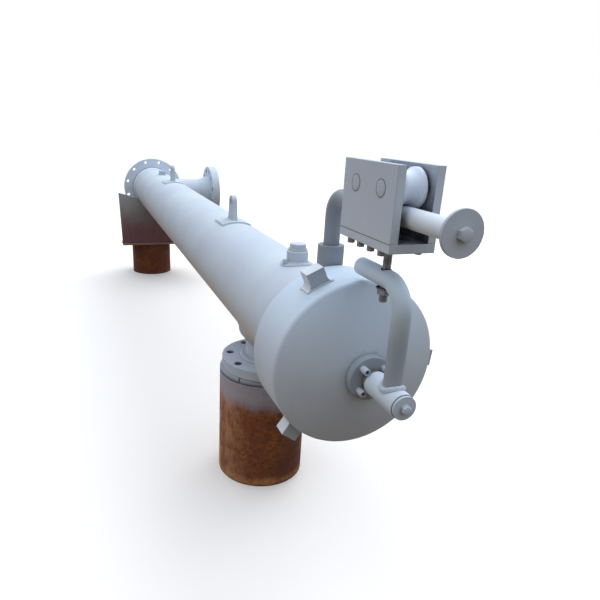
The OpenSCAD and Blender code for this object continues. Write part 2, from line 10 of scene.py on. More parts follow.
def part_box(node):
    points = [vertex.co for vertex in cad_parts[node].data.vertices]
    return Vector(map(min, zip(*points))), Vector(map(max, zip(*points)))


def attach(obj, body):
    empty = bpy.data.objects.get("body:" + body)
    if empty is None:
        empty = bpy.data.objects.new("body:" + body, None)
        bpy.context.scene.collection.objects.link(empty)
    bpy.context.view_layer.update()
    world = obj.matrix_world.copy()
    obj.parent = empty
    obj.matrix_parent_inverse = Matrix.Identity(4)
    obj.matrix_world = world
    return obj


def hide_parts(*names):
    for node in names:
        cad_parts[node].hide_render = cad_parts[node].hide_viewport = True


MM = 0.001
TURN = 2 * math.pi
SHARP_ABOVE = math.radians(38)
NODE_SHARP_ABOVE = math.radians(32)
BEVEL_ABOVE = math.radians(40)
MERGE_WITHIN = 0.02 * MM
BARREL_WALL = 9.5 * MM
# The radius at which a turned face closes
POINT = 0.2 * MM

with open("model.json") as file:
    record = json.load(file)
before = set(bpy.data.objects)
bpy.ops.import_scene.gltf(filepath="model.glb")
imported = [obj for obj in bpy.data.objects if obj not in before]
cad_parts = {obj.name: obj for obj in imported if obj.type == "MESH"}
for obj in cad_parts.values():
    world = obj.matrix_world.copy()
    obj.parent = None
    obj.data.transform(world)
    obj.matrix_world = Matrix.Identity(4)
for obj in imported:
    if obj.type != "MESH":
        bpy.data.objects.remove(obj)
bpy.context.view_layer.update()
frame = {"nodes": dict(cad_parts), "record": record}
nodes = frame["nodes"]
slot_of = {part["node"]: part["material_slot"] for part in frame["record"]["subparts"]}
dice = np.random.default_rng(11)


# Sizes read from the frame

def low(node):
    """Lowest corner of a node."""
    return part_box(node)[0]


def high(node):
    """Highest corner of a node."""
    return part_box(node)[1]


def middle(node):
    """Middle of a node's box."""
    return (low(node) + high(node)) / 2


def radius_across(node, axis):
    """Half of a node's size along one axis: 0 is X, 1 is Y, 2 is Z."""
    return (high(node)[axis] - low(node)[axis]) / 2


axis_x = middle("barrel").x
axis_z = middle("barrel").z
barrel_r = radius_across("barrel", 0)
cap_r = radius_across("closure_cap", 0)
bore_r = barrel_r - BARREL_WALL

# Mesh builders

def add_piece(name, shape, material, body):
    """A mesh of points and faces that rides on a body and takes a finish by its name."""
    verts, faces = shape
    mesh = bpy.data.meshes.new(name)
    mesh.from_pydata([tuple(v) for v in verts], [], faces)
    mesh.update()
    tidy = bmesh.new()
    tidy.from_mesh(mesh)
    bmesh.ops.recalc_face_normals(tidy, faces=tidy.faces)
    tidy.to_mesh(mesh)
    tidy.free()
    piece = bpy.data.objects.new(name, mesh)
    bpy.context.scene.collection.objects.link(piece)
    mesh.materials.append(finishes[material])
    mesh.shade_smooth()
    mesh.set_sharp_from_angle(angle=SHARP_ABOVE)
    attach(piece, body)
    return piece


def upright(direction):
    """A rotation that takes +Z to a direction."""
    return Vector((0, 0, 1)).rotation_difference(Vector(direction)).to_matrix()


def grid_faces(rows, columns):
    """Quads of a grid whose columns close on themselves."""
    faces = []
    for i in range(rows - 1):
        for j in range(columns):
            k = (j + 1) % columns
            here = i * columns
            faces.append((here + j, here + k, here + columns + k, here + columns + j))
    return faces


def lathe_mesh(rows, at, direction, segments=48):
    """Points and faces of a turned shape. A row is a height and a radius, which may differ by angle."""
    turn = upright(direction)
    angles = np.arange(segments) * TURN / segments
    verts = []
    for height, radius in rows:
        heights = np.broadcast_to(height, segments)
        radii = radius(angles) if callable(radius) else np.broadcast_to(radius, segments)
        for a, r, z in zip(angles, radii, heights):
            verts.append(Vector(at) + turn @ Vector((r * math.cos(a), r * math.sin(a), z)))
    return verts, grid_faces(len(rows), segments)


def joined(parts):
    """Several lists of points and faces as one."""
    verts, faces = [], []
    for more_verts, more_faces in parts:
        start = len(verts)
        verts.extend(more_verts)
        faces.extend(tuple(i + start for i in face) for face in more_faces)
    return verts, faces


def hexagon(flats):
    """The radius of a hexagon at each angle, from its width across flats."""
    def radius(angles):
        return flats / 2 / np.cos((angles + TURN / 12) % (TURN / 6) - TURN / 12)
    return radius


def hex_head(at, direction, flats, height, washer=0.0):
    """A bolt head or blind nut with its corners turned off at 30 degrees, on a washer if it has one."""
    crown = flats * 0.475
    segments = 48
    radii = hexagon(flats)(np.arange(segments) * TURN / segments)
    tops = height - np.maximum(radii - crown, 0) * math.tan(math.radians(30))
    head = [
        (washer, radii), (washer + tops, radii), (washer + height, crown), (washer + height, crown * 0.02)
    ]
    parts = [lathe_mesh(head, at, direction, segments)]
    if washer > 0:
        rim = flats * 0.62
        edge = washer * 0.25
        rows = [
            (0, rim - edge), (edge, rim), (washer - edge, rim), (washer, rim - edge), (washer, flats * 0.3)
        ]
        parts.append(lathe_mesh(rows, at, direction, segments))
    return joined(parts)


def socket_screw(at, direction, head_d, height, key):
    """A cap screw's head with a hexagon recess."""
    chamfer = head_d * 0.06
    recess = hexagon(key)
    floor = height - key * 0.75
    rows = [
        (0, head_d / 2), (height - chamfer, head_d / 2), (height, head_d / 2 - chamfer),
        (height, lambda a: recess(a) + chamfer * 0.4), (height - chamfer * 0.5, recess),
        (floor, recess), (floor - key * 0.1, key * 0.02)
    ]
    return lathe_mesh(rows, at, direction)


def thread_wave(share):
    """A trapezoid thread's height, from 0 at the root to 1 at the crest, along one pitch."""
    return np.clip(2.6 * (0.5 - np.abs((share % 1.0) - 0.5)) - 0.3, 0, 1)


def thread_rows(start, length, major, minor, pitch, steps):
    """Rows of a turned shape that carry a helical thread."""
    rows = []
    for height in np.linspace(start, start + length, int(length / pitch * steps) + 1):
        def radius(angles, height=height):
            wave = thread_wave(height / pitch - angles / TURN)
            return minor + (major - minor) * wave
        rows.append((height, radius))
    return rows


def even_points(points, step, closed):
    """A path with its points one step apart."""
    path = np.array([tuple(p) for p in points], float)
    if closed:
        path = np.vstack([path, path[:1]])
    lengths = np.linalg.norm(np.diff(path, axis=0), axis=1)
    along = np.concatenate([[0], np.cumsum(lengths)])
    count = max(int(along[-1] / step), 8)
    spots = np.linspace(0, along[-1], count, endpoint=not closed)
    return np.stack([np.interp(spots, along, path[:, k]) for k in range(3)], 1), spots


def bead_mesh(points, width, closed=True):
    """A weld bead along a path, rippled as the puddle froze."""
    pitch = width * 0.55
    path, along = even_points(points, pitch / 5, closed)
    count = len(path)
    if closed:
        ahead = np.roll(path, -1, 0) - np.roll(path, 1, 0)
    else:
        ahead = np.gradient(path, axis=0)
    ahead /= np.linalg.norm(ahead, axis=1)[:, None]
    drift = np.interp(along, np.linspace(0, along[-1], 24), dice.uniform(0.92, 1.08, 24))
    ripple = 0.88 + 0.16 * np.abs(np.sin(math.pi * along / pitch + 0.6 * np.sin(along / width)))
    radii = width / 2 * ripple * drift
    if not closed:
        ends = np.minimum(np.arange(count), np.arange(count)[::-1])
        radii *= np.clip(0.35 + ends * 0.2, 0, 1)
    side = np.cross(ahead[0], (0.31, 0.52, 0.79))
    sides = 8
    verts = []
    for i in range(count):
        side = side - ahead[i] * np.dot(side, ahead[i])
        side = side / np.linalg.norm(side)
        up = np.cross(ahead[i], side)
        for k in range(sides):
            a = TURN * k / sides
            verts.append(path[i] + radii[i] * (math.cos(a) * side + math.sin(a) * up))
    faces = grid_faces(count, sides)
    if closed:
        last = (count - 1) * sides
        twist = min(range(sides), key=lambda k: np.linalg.norm(verts[k] - verts[last]))
        for k in range(sides):
            a, b = last + k, last + (k + 1) % sides
            faces.append((a, b, (k + 1 + twist) % sides, (k + twist) % sides))
    else:
        faces.append(tuple(range(sides)))
        faces.append(tuple((count - 1) * sides + k for k in reversed(range(sides))))
    return verts, faces


# Paths that welds and joints follow

def ring_path(at, direction, radius, count=180):
    """A circle about a direction."""
    turn = upright(direction)
    spots = []
    for i in range(count):
        a = TURN * i / count
        spots.append(Vector(at) + turn @ Vector((radius * math.cos(a), radius * math.sin(a), 0)))
    return spots


def saddle_path(y, radius, shell_r, side=1, x=None, z=None, count=180):
    """Where an upright tube meets a round shell along Y: side 1 is its crown and -1 its underside."""
    centre_x = axis_x if x is None else x
    centre_z = axis_z if z is None else z
    spots = []
    for i in range(count):
        a = TURN * i / count
        dx = radius * math.cos(a)
        rise = math.sqrt(max(shell_r ** 2 - dx ** 2, 0))
        spots.append(Vector((centre_x + dx, y + radius * math.sin(a), centre_z + side * rise)))
    return spots


def crown_box_path(y, half_x, half_y, shell_r, count=24):
    """A rectangle laid on the crown of a shell."""
    corners = [(-half_x, -half_y), (half_x, -half_y), (half_x, half_y), (-half_x, half_y)]
    spots = []
    for (x0, y0), (x1, y1) in zip(corners, corners[1:] + corners[:1]):
        for i in range(count):
            t = i / count
            dx = x0 + (x1 - x0) * t
            rise = math.sqrt(shell_r ** 2 - dx ** 2)
            spots.append(Vector((axis_x + dx, y + y0 + (y1 - y0) * t, axis_z + rise)))
    return spots


def arc_path(y, radius, start, sweep, count):
    """Part of a circle about the barrel's axis."""
    spots = []
    for i in range(count):
        a = start + sweep * i / (count - 1)
        spots.append(Vector((axis_x + radius * math.cos(a), y, axis_z + radius * math.sin(a))))
    return spots


# Colours, shine and roughness

PAINT = (0.556, 0.614, 0.738, 1)
PAINT_PALE = (0.584, 0.676, 0.768, 1)
# Paler, bluer paint: painted highlight on the tops of the cap and the arm
PAINT_COOL = (0.640, 0.765, 0.912, 1)
# Pale paint: painted light along the rail's outer part
RAIL_PAINTED_LIGHT = (0.800, 0.890, 1.000, 1)
# Paler paint: painted light on the hammer lugs' sides and tops
LUG_LIT_SIDES = (0.760, 0.830, 0.930, 1)
BORE_STEEL = (0.155, 0.135, 0.125, 1)
# Near black: painted shade deep inside the trolley and in the flanges' holes
DEEP_PAINTED_SHADE = (0.045, 0.046, 0.052, 1)
# Warm grey: painted shade and a painted soil reflection on downward faces
UNDERSIDE_PAINTED_SHADE = (0.550, 0.520, 0.530, 1)
# Dust colour and painted shade in the corners of the paint
PAINT_DUST_AND_SHADE = (0.27, 0.26, 0.25, 1)
OVERSPRAY = (0.405, 0.410, 0.495, 1)
OVERSPRAY_GREY = (0.455, 0.520, 0.560, 1)
MILL_SCALE = (0.240, 0.142, 0.225, 1)
RED_SCALE = (0.165, 0.060, 0.042, 1)
TAN_EDGE = (0.440, 0.370, 0.290, 1)
RUN_STAIN = (0.40, 0.42, 0.44, 1)
RUBBED_EDGE = (0.70, 0.74, 0.79, 1)
RUST_DARK = (0.116, 0.031, 0.018, 1)
RUST_RED = (0.255, 0.070, 0.028, 1)
RUST_ORANGE = (0.440, 0.140, 0.030, 1)
RUST_BRIGHT = (0.58, 0.25, 0.08, 1)
RUST_RUNS = (0.36, 0.17, 0.07, 1)
# Grime and painted shade in the corners of the rust
RUST_GRIME_AND_SHADE = (0.06, 0.042, 0.036, 1)
SCALE_PATCH = (0.125, 0.052, 0.045, 1)
FRESH_RUST = (0.62, 0.29, 0.11, 1)
DULL_FOOT = (0.20, 0.085, 0.045, 1)
# Near black: painted contact shade along the bottom edge next to the floor
FOOT_PAINTED_SHADE = (0.07, 0.045, 0.032, 1)
# Lighter rust: painted light on the near pedestal's left side
RUST_PAINTED_LIGHT = (0.49, 0.265, 0.165, 1)
# Dark rust: painted shade on the near pedestal's right side
RUST_PAINTED_SHADE = (0.078, 0.028, 0.020, 1)
# Oily dust and painted shade in the corners of bare steel
OILY_DUST_AND_SHADE = (0.05, 0.04, 0.03, 1)
BOLT_BLACK = (0.200, 0.190, 0.205, 1)
BOLT_MIST = (0.36, 0.36, 0.39, 1)
BOLT_RUBBED = (0.30, 0.29, 0.28, 1)
SEAL_BLACK = (0.02, 0.022, 0.025, 1)
SEAL_DUSTY = (0.06, 0.062, 0.068, 1)
FLOOR_BOUNCE = (0.148, 0.098, 0.052, 1)
FLOOR_SEEN = (0.98, 0.955, 0.945, 1)
SKY_LOW = (0.045, 0.046, 0.048, 1)
SKY_HIGH = (1.46, 1.54, 1.63, 1)
WHITE = (1, 1, 1, 1)
PAINT_SHINE, RUST_SHINE = 0.05, 0.15
PAINT_ROUGH, GRIMY_ROUGH = 0.60, 0.80

# Shader helpers

def feed(tree, socket, value):
    """Sets a socket to a number or colour, or links it to another socket."""
    if isinstance(value, bpy.types.NodeSocket):
        tree.links.new(value, socket)
    else:
        socket.default_value = value


def make_node(tree, kind, inputs=None, **settings):
    """A new node with its settings and inputs."""
    made = tree.nodes.new(kind)
    for name, value in settings.items():
        setattr(made, name, value)
    for name, value in (inputs or {}).items():
        feed(tree, made.inputs[name], value)
    return made


def calc(tree, operation, a, b=0.0, clamp=False):
    """One step of arithmetic on two numbers."""
    made = make_node(tree, "ShaderNodeMath", {0: a, 1: b}, operation=operation, use_clamp=clamp)
    return made.outputs[0]


def remap(tree, value, from_low, from_high, to_low=0.0, to_high=1.0):
    """A number moved smoothly from one range to another."""
    inputs = {0: value, 1: from_low, 2: from_high, 3: to_low, 4: to_high}
    made = make_node(tree, "ShaderNodeMapRange", inputs, interpolation_type="SMOOTHSTEP")
    return made.outputs[0]


def tint(tree, share, below, above, blend="MIX"):
    """Two colours mixed by a share."""
    made = make_node(tree, "ShaderNodeMix", data_type="RGBA", blend_type=blend)
    feed(tree, made.inputs[0], share)
    feed(tree, made.inputs[6], below)
    feed(tree, made.inputs[7], above)
    return made.outputs[2]


def noise(tree, where, scale, detail=4.0, rough=0.55):
    """A noise value at a place."""
    inputs = {"Vector": where, "Scale": scale, "Detail": detail, "Roughness": rough}
    return make_node(tree, "ShaderNodeTexNoise", inputs).outputs["Fac"]


def place_of(tree, stretch=(1.0, 1.0, 1.0)):
    """Where on the object a point is, in metres, stretched if asked."""
    spot = make_node(tree, "ShaderNodeTexCoord").outputs["Object"]
    if tuple(stretch) == (1.0, 1.0, 1.0):
        return spot
    return make_node(tree, "ShaderNodeMapping", {"Vector": spot, "Scale": stretch}).outputs[0]


NUMBER = "NodeSocketFloat"
COLOUR = "NodeSocketColor"
VECTOR = "NodeSocketVector"


def effect_group(name, inputs, outputs):
    """An empty shader group with named number inputs and outputs of a given kind."""
    group = bpy.data.node_groups.new(name, "ShaderNodeTree")
    for label, value in inputs.items():
        made = group.interface.new_socket(name=label, in_out="INPUT", socket_type=NUMBER)
        made.default_value = value
    for label, kind in outputs.items():
        group.interface.new_socket(name=label, in_out="OUTPUT", socket_type=kind)
    entry = group.nodes.new("NodeGroupInput")
    leave = group.nodes.new("NodeGroupOutput")
    return group, entry.outputs, leave.inputs


def uneven_coat_group():
    """Slow drift of a sprayed coat's shade, and its fine orange peel."""
    group, given, out = effect_group(
        "uneven_coat", {"Drift Scale": 5.0, "Peel Scale": 420.0}, {"Drift": NUMBER, "Peel": NUMBER})
    spot = place_of(group)
    feed(group, out["Drift"], remap(group, noise(group, spot, given["Drift Scale"], 5), 0.3, 0.7))
    feed(group, out["Peel"], noise(group, spot, given["Peel Scale"], 2))
    return group


def worn_edge_group():
    """Where corners stand proud, broken up as rubbing breaks them."""
    group, given, out = effect_group(
        "worn_edge", {"Reach": 0.003, "Break Scale": 60.0, "Amount": 1.0},
        {"Mask": NUMBER, "Normal": VECTOR})
    rounded = make_node(group, "ShaderNodeBevel", {"Radius": given["Reach"]}, samples=4).outputs[0]
    flat = make_node(group, "ShaderNodeNewGeometry").outputs["Normal"]
    inputs = {0: rounded, 1: flat}
    agree = make_node(group, "ShaderNodeVectorMath", inputs, operation="DOT_PRODUCT").outputs["Value"]
    bare = remap(group, agree, 0.985, 0.80)
    patchy = remap(group, noise(group, place_of(group), given["Break Scale"], 4), 0.38, 0.62)
    broken = calc(group, "MULTIPLY", bare, patchy)
    feed(group, out["Mask"], calc(group, "MULTIPLY", broken, given["Amount"]))
    feed(group, out["Normal"], rounded)
    return group


def dirt_and_corner_shade_group():
    """Dust and grime in corners and along welds, with painted shade: darker where little open sky reaches a
    point.
    """
    group, given, out = effect_group(
        "dirt_and_corner_shade", {"Reach": 0.03, "Amount": 1.0, "Break Scale": 35.0}, {"Mask": NUMBER})
    inputs = {"Distance": given["Reach"]}
    open_sky = make_node(group, "ShaderNodeAmbientOcclusion", inputs, samples=6).outputs["AO"]
    corner = remap(group, open_sky, 0.85, 0.25)
    blotches = noise(group, place_of(group), given["Break Scale"], 5, 0.65)
    patchy = remap(group, blotches, 0.25, 0.75, 0.62, 1.0)
    gathered = calc(group, "MULTIPLY", corner, patchy)
    feed(group, out["Mask"], calc(group, "MULTIPLY", gathered, given["Amount"]))
    return group


def run_marks_group():
    """Streaks that water leaves down an upright face."""
    group, given, out = effect_group(
        "run_marks", {"Scale": 30.0, "Amount": 1.0}, {"Mask": NUMBER})
    spot = place_of(group, (1.0, 1.0, 0.06))
    streak = remap(group, noise(group, spot, given["Scale"], 5, 0.6), 0.52, 0.74)
    blot = remap(group, noise(group, place_of(group), 6.0, 3), 0.35, 0.65)
    streaks = calc(group, "MULTIPLY", streak, blot)
    feed(group, out["Mask"], calc(group, "MULTIPLY", streaks, given["Amount"]))
    return group


def rust_bloom_group():
    """Mill scale turned to rust: dark ground, orange bloom, pale specks and pitting."""
    group, given, out = effect_group(
        "rust_bloom", {"Scale": 9.0, "Bloom": 0.5, "Scale Left": 0.4},
        {"Color": COLOUR, "Height": NUMBER, "Rough": NUMBER})
    spot = place_of(group)
    broad = noise(group, place_of(group, (1.0, 1.0, 1.8)), given["Scale"], 8, 0.62)
    fine = noise(group, spot, calc(group, "MULTIPLY", given["Scale"], 7.0), 6, 0.7)
    speck = noise(group, spot, calc(group, "MULTIPLY", given["Scale"], 30.0), 3, 0.6)
    ground = tint(group, remap(group, fine, 0.36, 0.64), RUST_DARK, RUST_RED)
    lift = calc(group, "ADD", calc(group, "MULTIPLY", broad, 0.7), calc(group, "MULTIPLY", fine, 0.3))
    start = calc(group, "SUBTRACT", 0.76, calc(group, "MULTIPLY", given["Bloom"], 0.42))
    orange = remap(group, lift, start, calc(group, "ADD", start, 0.16))
    rusted = tint(group, orange, ground, RUST_ORANGE)
    bright = calc(group, "MULTIPLY", orange, remap(group, speck, 0.55, 0.72))
    rusted = tint(group, bright, rusted, RUST_BRIGHT)
    scale_size = calc(group, "MULTIPLY", given["Scale"], 1.7)
    scale = noise(group, place_of(group, (1.0, 1.0, 1.5)), scale_size, 7, 0.55)
    kept = calc(group, "MULTIPLY", remap(group, scale, 0.54, 0.64), given["Scale Left"])
    rusted = tint(group, kept, rusted, SCALE_PATCH)
    grain = remap(group, speck, 0.34, 0.66, 0.66, 1.34)
    feed(group, out["Color"], tint(group, 1.0, rusted, grain, "MULTIPLY"))
    rise = calc(group, "ADD", calc(group, "MULTIPLY", fine, 0.6), calc(group, "MULTIPLY", speck, 0.4))
    feed(group, out["Height"], calc(group, "SUBTRACT", rise, calc(group, "MULTIPLY", kept, 0.15)))
    feed(group, out["Rough"], remap(group, lift, 0.35, 0.7, 0.62, 0.95))
    return group


def overspray_group():
    """Paint mist that fades down from a height, with a ragged edge that can tilt lower towards +X."""
    group, given, out = effect_group(
        "overspray", {"Low": 0.0, "High": 1.0, "Ragged": 0.05, "Tilt": 0.0}, {"Mask": NUMBER})
    spot = place_of(group)
    parts = make_node(group, "ShaderNodeSeparateXYZ", {0: spot}).outputs
    drift = calc(group, "SUBTRACT", noise(group, place_of(group, (1, 1, 0.5)), 14.0, 6, 0.6), 0.5)
    slope = calc(group, "MULTIPLY", parts["X"], given["Tilt"])
    level = calc(group, "ADD", parts["Z"], slope)
    height = calc(group, "ADD", level, calc(group, "MULTIPLY", drift, given["Ragged"]))
    fade = remap(group, height, given["Low"], given["High"])
    mist = remap(group, noise(group, spot, 260.0, 2), 0.3, 0.7, 0.75, 1.0)
    feed(group, out["Mask"], calc(group, "MULTIPLY", fade, mist))
    return group


effects = {
    "coat": uneven_coat_group(),
    "edge": worn_edge_group(),
    "dirt_and_shade": dirt_and_corner_shade_group(),
    "runs": run_marks_group(),
    "rust": rust_bloom_group(),
    "mist": overspray_group(),
}


def effect(tree, name, **values):
    """One of the shared effects with its own values."""
    made = tree.nodes.new("ShaderNodeGroup")
    made.node_tree = effects[name]
    for label, value in values.items():
        feed(tree, made.inputs[label.replace("_", " ")], value)
    return made.outputs


def new_finish(name, rough, shine=0.5):
    """An empty material with its Principled shader, its shine told as the specular level."""
    material = bpy.data.materials.new(name)
    material.use_nodes = True
    tree = material.node_tree
    shader = tree.nodes["Principled BSDF"]
    shader.inputs["Roughness"].default_value = rough
    shader.inputs["Specular IOR Level"].default_value = shine
    return material, tree, shader


def raise_surface(tree, shader, height, depth, strength=1.0, rounded=None):
    """Bump from a height, its depth in metres, over rounded corners where they are given."""
    bump = make_node(tree, "ShaderNodeBump", {"Height": height, "Distance": depth, "Strength": strength})
    if rounded:
        feed(tree, bump.inputs["Normal"], rounded)
    feed(tree, shader.inputs["Normal"], bump.outputs[0])


# Finishes

def shaded(colour, share):
    """A colour made darker or lighter."""
    return tuple(part * share for part in colour[:3]) + (1,)


def facing(tree, axis):
    """How far a surface faces along one axis of its object."""
    normal = make_node(tree, "ShaderNodeTexCoord").outputs["Normal"]
    return make_node(tree, "ShaderNodeSeparateXYZ", {0: normal}).outputs[axis]


def paint_colour(tree, dirt_and_shade=0.7, wear=0.5, reach=0.03, grime_and_shade_colour=PAINT_DUST_AND_SHADE, shade=1.0,
                 rubbed_and_lit=None, along="Z", upper=PAINT_PALE, bore=None, sides=None, underside_shade=0.0):
    """Sprayed paint with drift, rubbed corners, grime with painted shade in corners, and faint runs, and
    the heights under it; a shade, a lit band, lit sides and an underside tint paint light and shade into
    its colour.
    """
    coat = effect(tree, "coat")
    # Shade scales the paint: painted shade below 1, painted light above 1
    base = tint(tree, coat["Drift"], shaded(PAINT, shade), shaded(PAINT_PALE, shade))
    # A band along one axis blends into a lighter colour: painted light
    if rubbed_and_lit:
        reach_along = make_node(tree, "ShaderNodeSeparateXYZ", {0: place_of(tree)}).outputs[along]
        base = tint(tree, remap(tree, reach_along, rubbed_and_lit[0], rubbed_and_lit[1]), base, upper)
    # Faces that don't face along Y take a lighter colour: painted light on the sides
    if sides:
        endways = calc(tree, "ABSOLUTE", facing(tree, "Y"))
        base = tint(tree, remap(tree, endways, 0.8, 0.3), base, sides)
    # Downward faces take a warm grey: painted shade and a painted soil reflection
    if underside_shade:
        underside = remap(tree, facing(tree, "Z"), 0.3, -0.5, 0.0, underside_shade)
        base = tint(tree, underside, base, UNDERSIDE_PAINTED_SHADE)
    marks = effect(tree, "runs", Amount=0.3)["Mask"]
    base = tint(tree, calc(tree, "MULTIPLY", marks, 0.35), base, RUN_STAIN)
    if bore:
        scale_rust = effect(tree, "rust", Bloom=0.25, Scale_Left=0.5)["Color"]
        base = tint(tree, inside_of(tree, *bore), base, tint(tree, 0.6, scale_rust, BORE_STEEL))
    # Grime where little open sky reaches: real grime and painted shade
    grime_and_shade = effect(tree, "dirt_and_shade", Amount=dirt_and_shade, Reach=reach)["Mask"]
    base = tint(tree, grime_and_shade, base, grime_and_shade_colour)
    edge = effect(tree, "edge", Amount=wear)
    return tint(tree, edge["Mask"], base, RUBBED_EDGE), coat["Peel"], grime_and_shade, edge["Normal"]


def inside_of(tree, across, centre, radius):
    """One within a radius of a straight line, told by the two axes it crosses and where."""
    spot = make_node(tree, "ShaderNodeSeparateXYZ", {0: place_of(tree)}).outputs
    squares = []
    for axis, middle_of_bore in zip(across, centre):
        away = calc(tree, "SUBTRACT", spot[axis], middle_of_bore)
        squares.append(calc(tree, "MULTIPLY", away, away))
    return remap(tree, calc(tree, "SQRT", calc(tree, "ADD", *squares)), radius, radius - 1 * MM)


def sprayed_paint(name, peel_depth=0.4 * MM, peel_strength=0.35, soft_corners=True, **looks):
    """The launcher's paint, with its own grime and painted corner shade, and painted light and shade over
    the whole part or a band of it, if asked.
    """
    material, tree, shader = new_finish(name, PAINT_ROUGH, shine=PAINT_SHINE)
    colour, peel, grime_and_shade, rounded = paint_colour(tree, **looks)
    feed(tree, shader.inputs["Base Color"], colour)
    feed(tree, shader.inputs["Roughness"], remap(tree, grime_and_shade, 0.0, 1.0, PAINT_ROUGH, GRIMY_ROUGH))
    raise_surface(tree, shader, peel, peel_depth, peel_strength, rounded if soft_corners else None)
    return material


def rusty_steel(name, bloom, scale_left, mist_heights, ragged, mist_colour=OVERSPRAY, tone=MILL_SCALE,
                toned=0.0, foot=FRESH_RUST, tilt=0.0, lit_to_shaded=None):
    """Rusted steel with paint mist over its top, fresh rust along its foot, painted contact shade along its
    bottom edge, and a tone of mill scale.

    Where a range along X is given, painted light lightens the steel at its start and painted shade darkens
    it towards its end.
    """
    material, tree, shader = new_finish(name, 0.85, shine=RUST_SHINE)
    rust = effect(tree, "rust", Bloom=bloom, Scale_Left=scale_left)
    colour = tint(tree, toned, rust["Color"], tone)
    marks = effect(tree, "runs", Scale=22.0, Amount=0.35)["Mask"]
    colour = tint(tree, marks, colour, RUST_RUNS)
    crumbly = remap(tree, noise(tree, place_of(tree, (1, 1, 2.0)), 45.0, 7, 0.7), 0.35, 0.65)
    crumbs = tint(tree, crumbly, shaded(foot, 0.55), shaded(foot, 1.15))
    above_foot = effect(tree, "mist", Low=0.010, High=0.044, Ragged=0.07)["Mask"]
    colour = tint(tree, above_foot, crumbs, colour)
    # A dark band at the bottom edge: painted contact shade
    foot_shade = effect(tree, "mist", Low=0.001, High=0.008, Ragged=0.006)["Mask"]
    colour = tint(tree, foot_shade, FOOT_PAINTED_SHADE, colour)
    # Lighter at the start of the range and darker towards its end: painted light and painted shade
    if lit_to_shaded:
        across = make_node(tree, "ShaderNodeSeparateXYZ", {0: place_of(tree)}).outputs["X"]
        start, end = lit_to_shaded
        width = end - start
        lit_side = remap(tree, across, start, start + 0.25 * width, 0.85, 0.0)
        blotches = noise(tree, place_of(tree, (1, 1, 0.45)), 26.0, 6, 0.65)
        patchy = remap(tree, blotches, 0.38, 0.62, 0.15, 1.0)
        colour = tint(tree, calc(tree, "MULTIPLY", lit_side, patchy), colour, RUST_PAINTED_LIGHT)
        wander = calc(tree, "SUBTRACT", noise(tree, place_of(tree), 11.0, 7, 0.6), 0.5)
        edge = calc(tree, "ADD", across, calc(tree, "MULTIPLY", wander, 0.22))
        dark = remap(tree, edge, start + 0.32 * width, start + 0.8 * width, 0.0, 0.8)
        above_crumbs = calc(tree, "MULTIPLY", dark, remap(tree, above_foot, 0.0, 1.0, 0.35, 1.0))
        colour = tint(tree, above_crumbs, colour, RUST_PAINTED_SHADE)
    mist = effect(tree, "mist", Low=mist_heights[0], High=mist_heights[1], Ragged=ragged, Tilt=tilt)["Mask"]
    colour = tint(tree, mist, colour, mist_colour)
    # Grime where little open sky reaches: real grime and painted shade
    grime_and_shade = effect(tree, "dirt_and_shade", Amount=0.7)["Mask"]
    feed(tree, shader.inputs["Base Color"], tint(tree, grime_and_shade, colour, RUST_GRIME_AND_SHADE))
    feed(tree, shader.inputs["Roughness"], rust["Rough"])
    raise_surface(tree, shader, rust["Height"], 1.6 * MM, 0.7)
    return material


def bare_steel(name, colour, dark, rough, lines, metal):
    """Bare steel: fine lines across its axis, oil stains, and dust with painted shade in its corners."""
    material, tree, shader = new_finish(name, 0.4)
    stain = remap(tree, noise(tree, place_of(tree, lines), 12.0, 6, 0.6), 0.3, 0.75)
    grime_and_shade = effect(tree, "dirt_and_shade", Reach=0.012, Amount=0.9)["Mask"]
    base = tint(tree, stain, colour, dark)
    feed(tree, shader.inputs["Base Color"], tint(tree, grime_and_shade, base, OILY_DUST_AND_SHADE))
    feed(tree, shader.inputs["Roughness"], remap(tree, stain, 0.0, 1.0, *rough))
    feed(tree, shader.inputs["Metallic"], remap(tree, grime_and_shade, 0.0, 1.0, metal, 0.2))
    cut = noise(tree, place_of(tree, lines), 900.0, 2)
    raise_surface(tree, shader, cut, 0.2 * MM, 0.4)
    return material


def misted_bolts():
    """Blackened screws speckled with a mist of paint and rubbed at their corners."""
    material, tree, shader = new_finish("misted_bolts", 0.5, shine=0.2)
    speckle = remap(tree, noise(tree, place_of(tree), 330.0, 4, 0.6), 0.40, 0.62)
    colour = tint(tree, speckle, BOLT_BLACK, BOLT_MIST)
    rubbed_and_lit = effect(tree, "edge", Reach=0.0012, Break_Scale=200.0, Amount=0.6)["Mask"]
    feed(tree, shader.inputs["Base Color"], tint(tree, rubbed_and_lit, colour, BOLT_RUBBED))
    feed(tree, shader.inputs["Roughness"], remap(tree, speckle, 0.0, 1.0, 0.35, 0.7))
    return material


def black_seal():
    """Dark joints round discs and along seams, the shade in small recesses, and painted shade in the gap
    round the hanger rod.
    """
    material, tree, shader = new_finish("black_seal", 0.7, shine=0.1)
    mottle = noise(tree, place_of(tree), 300.0, 3)
    feed(tree, shader.inputs["Base Color"], tint(tree, mottle, SEAL_BLACK, SEAL_DUSTY))
    return material


near_top = high("near_pedestal").z
far_top = high("far_pedestal").z
web_top = high("saddle_web").z
near_ped = middle("near_pedestal")
ped_r = radius_across("near_pedestal", 0)
rail_z = middle("rail_stop").z
post_y = middle("davit_socket").y
rollers_y = middle("trolley_base_plate").y
barrel_bore = ("XZ", (axis_x, axis_z), bore_r + 3 * MM)
side_y = middle("side_nozzle").y
side_r = radius_across("side_nozzle", 1)
nozzle_bore = ("YZ", (side_y, axis_z), side_r - 5 * MM)
arm_top = high("swing_arm").z
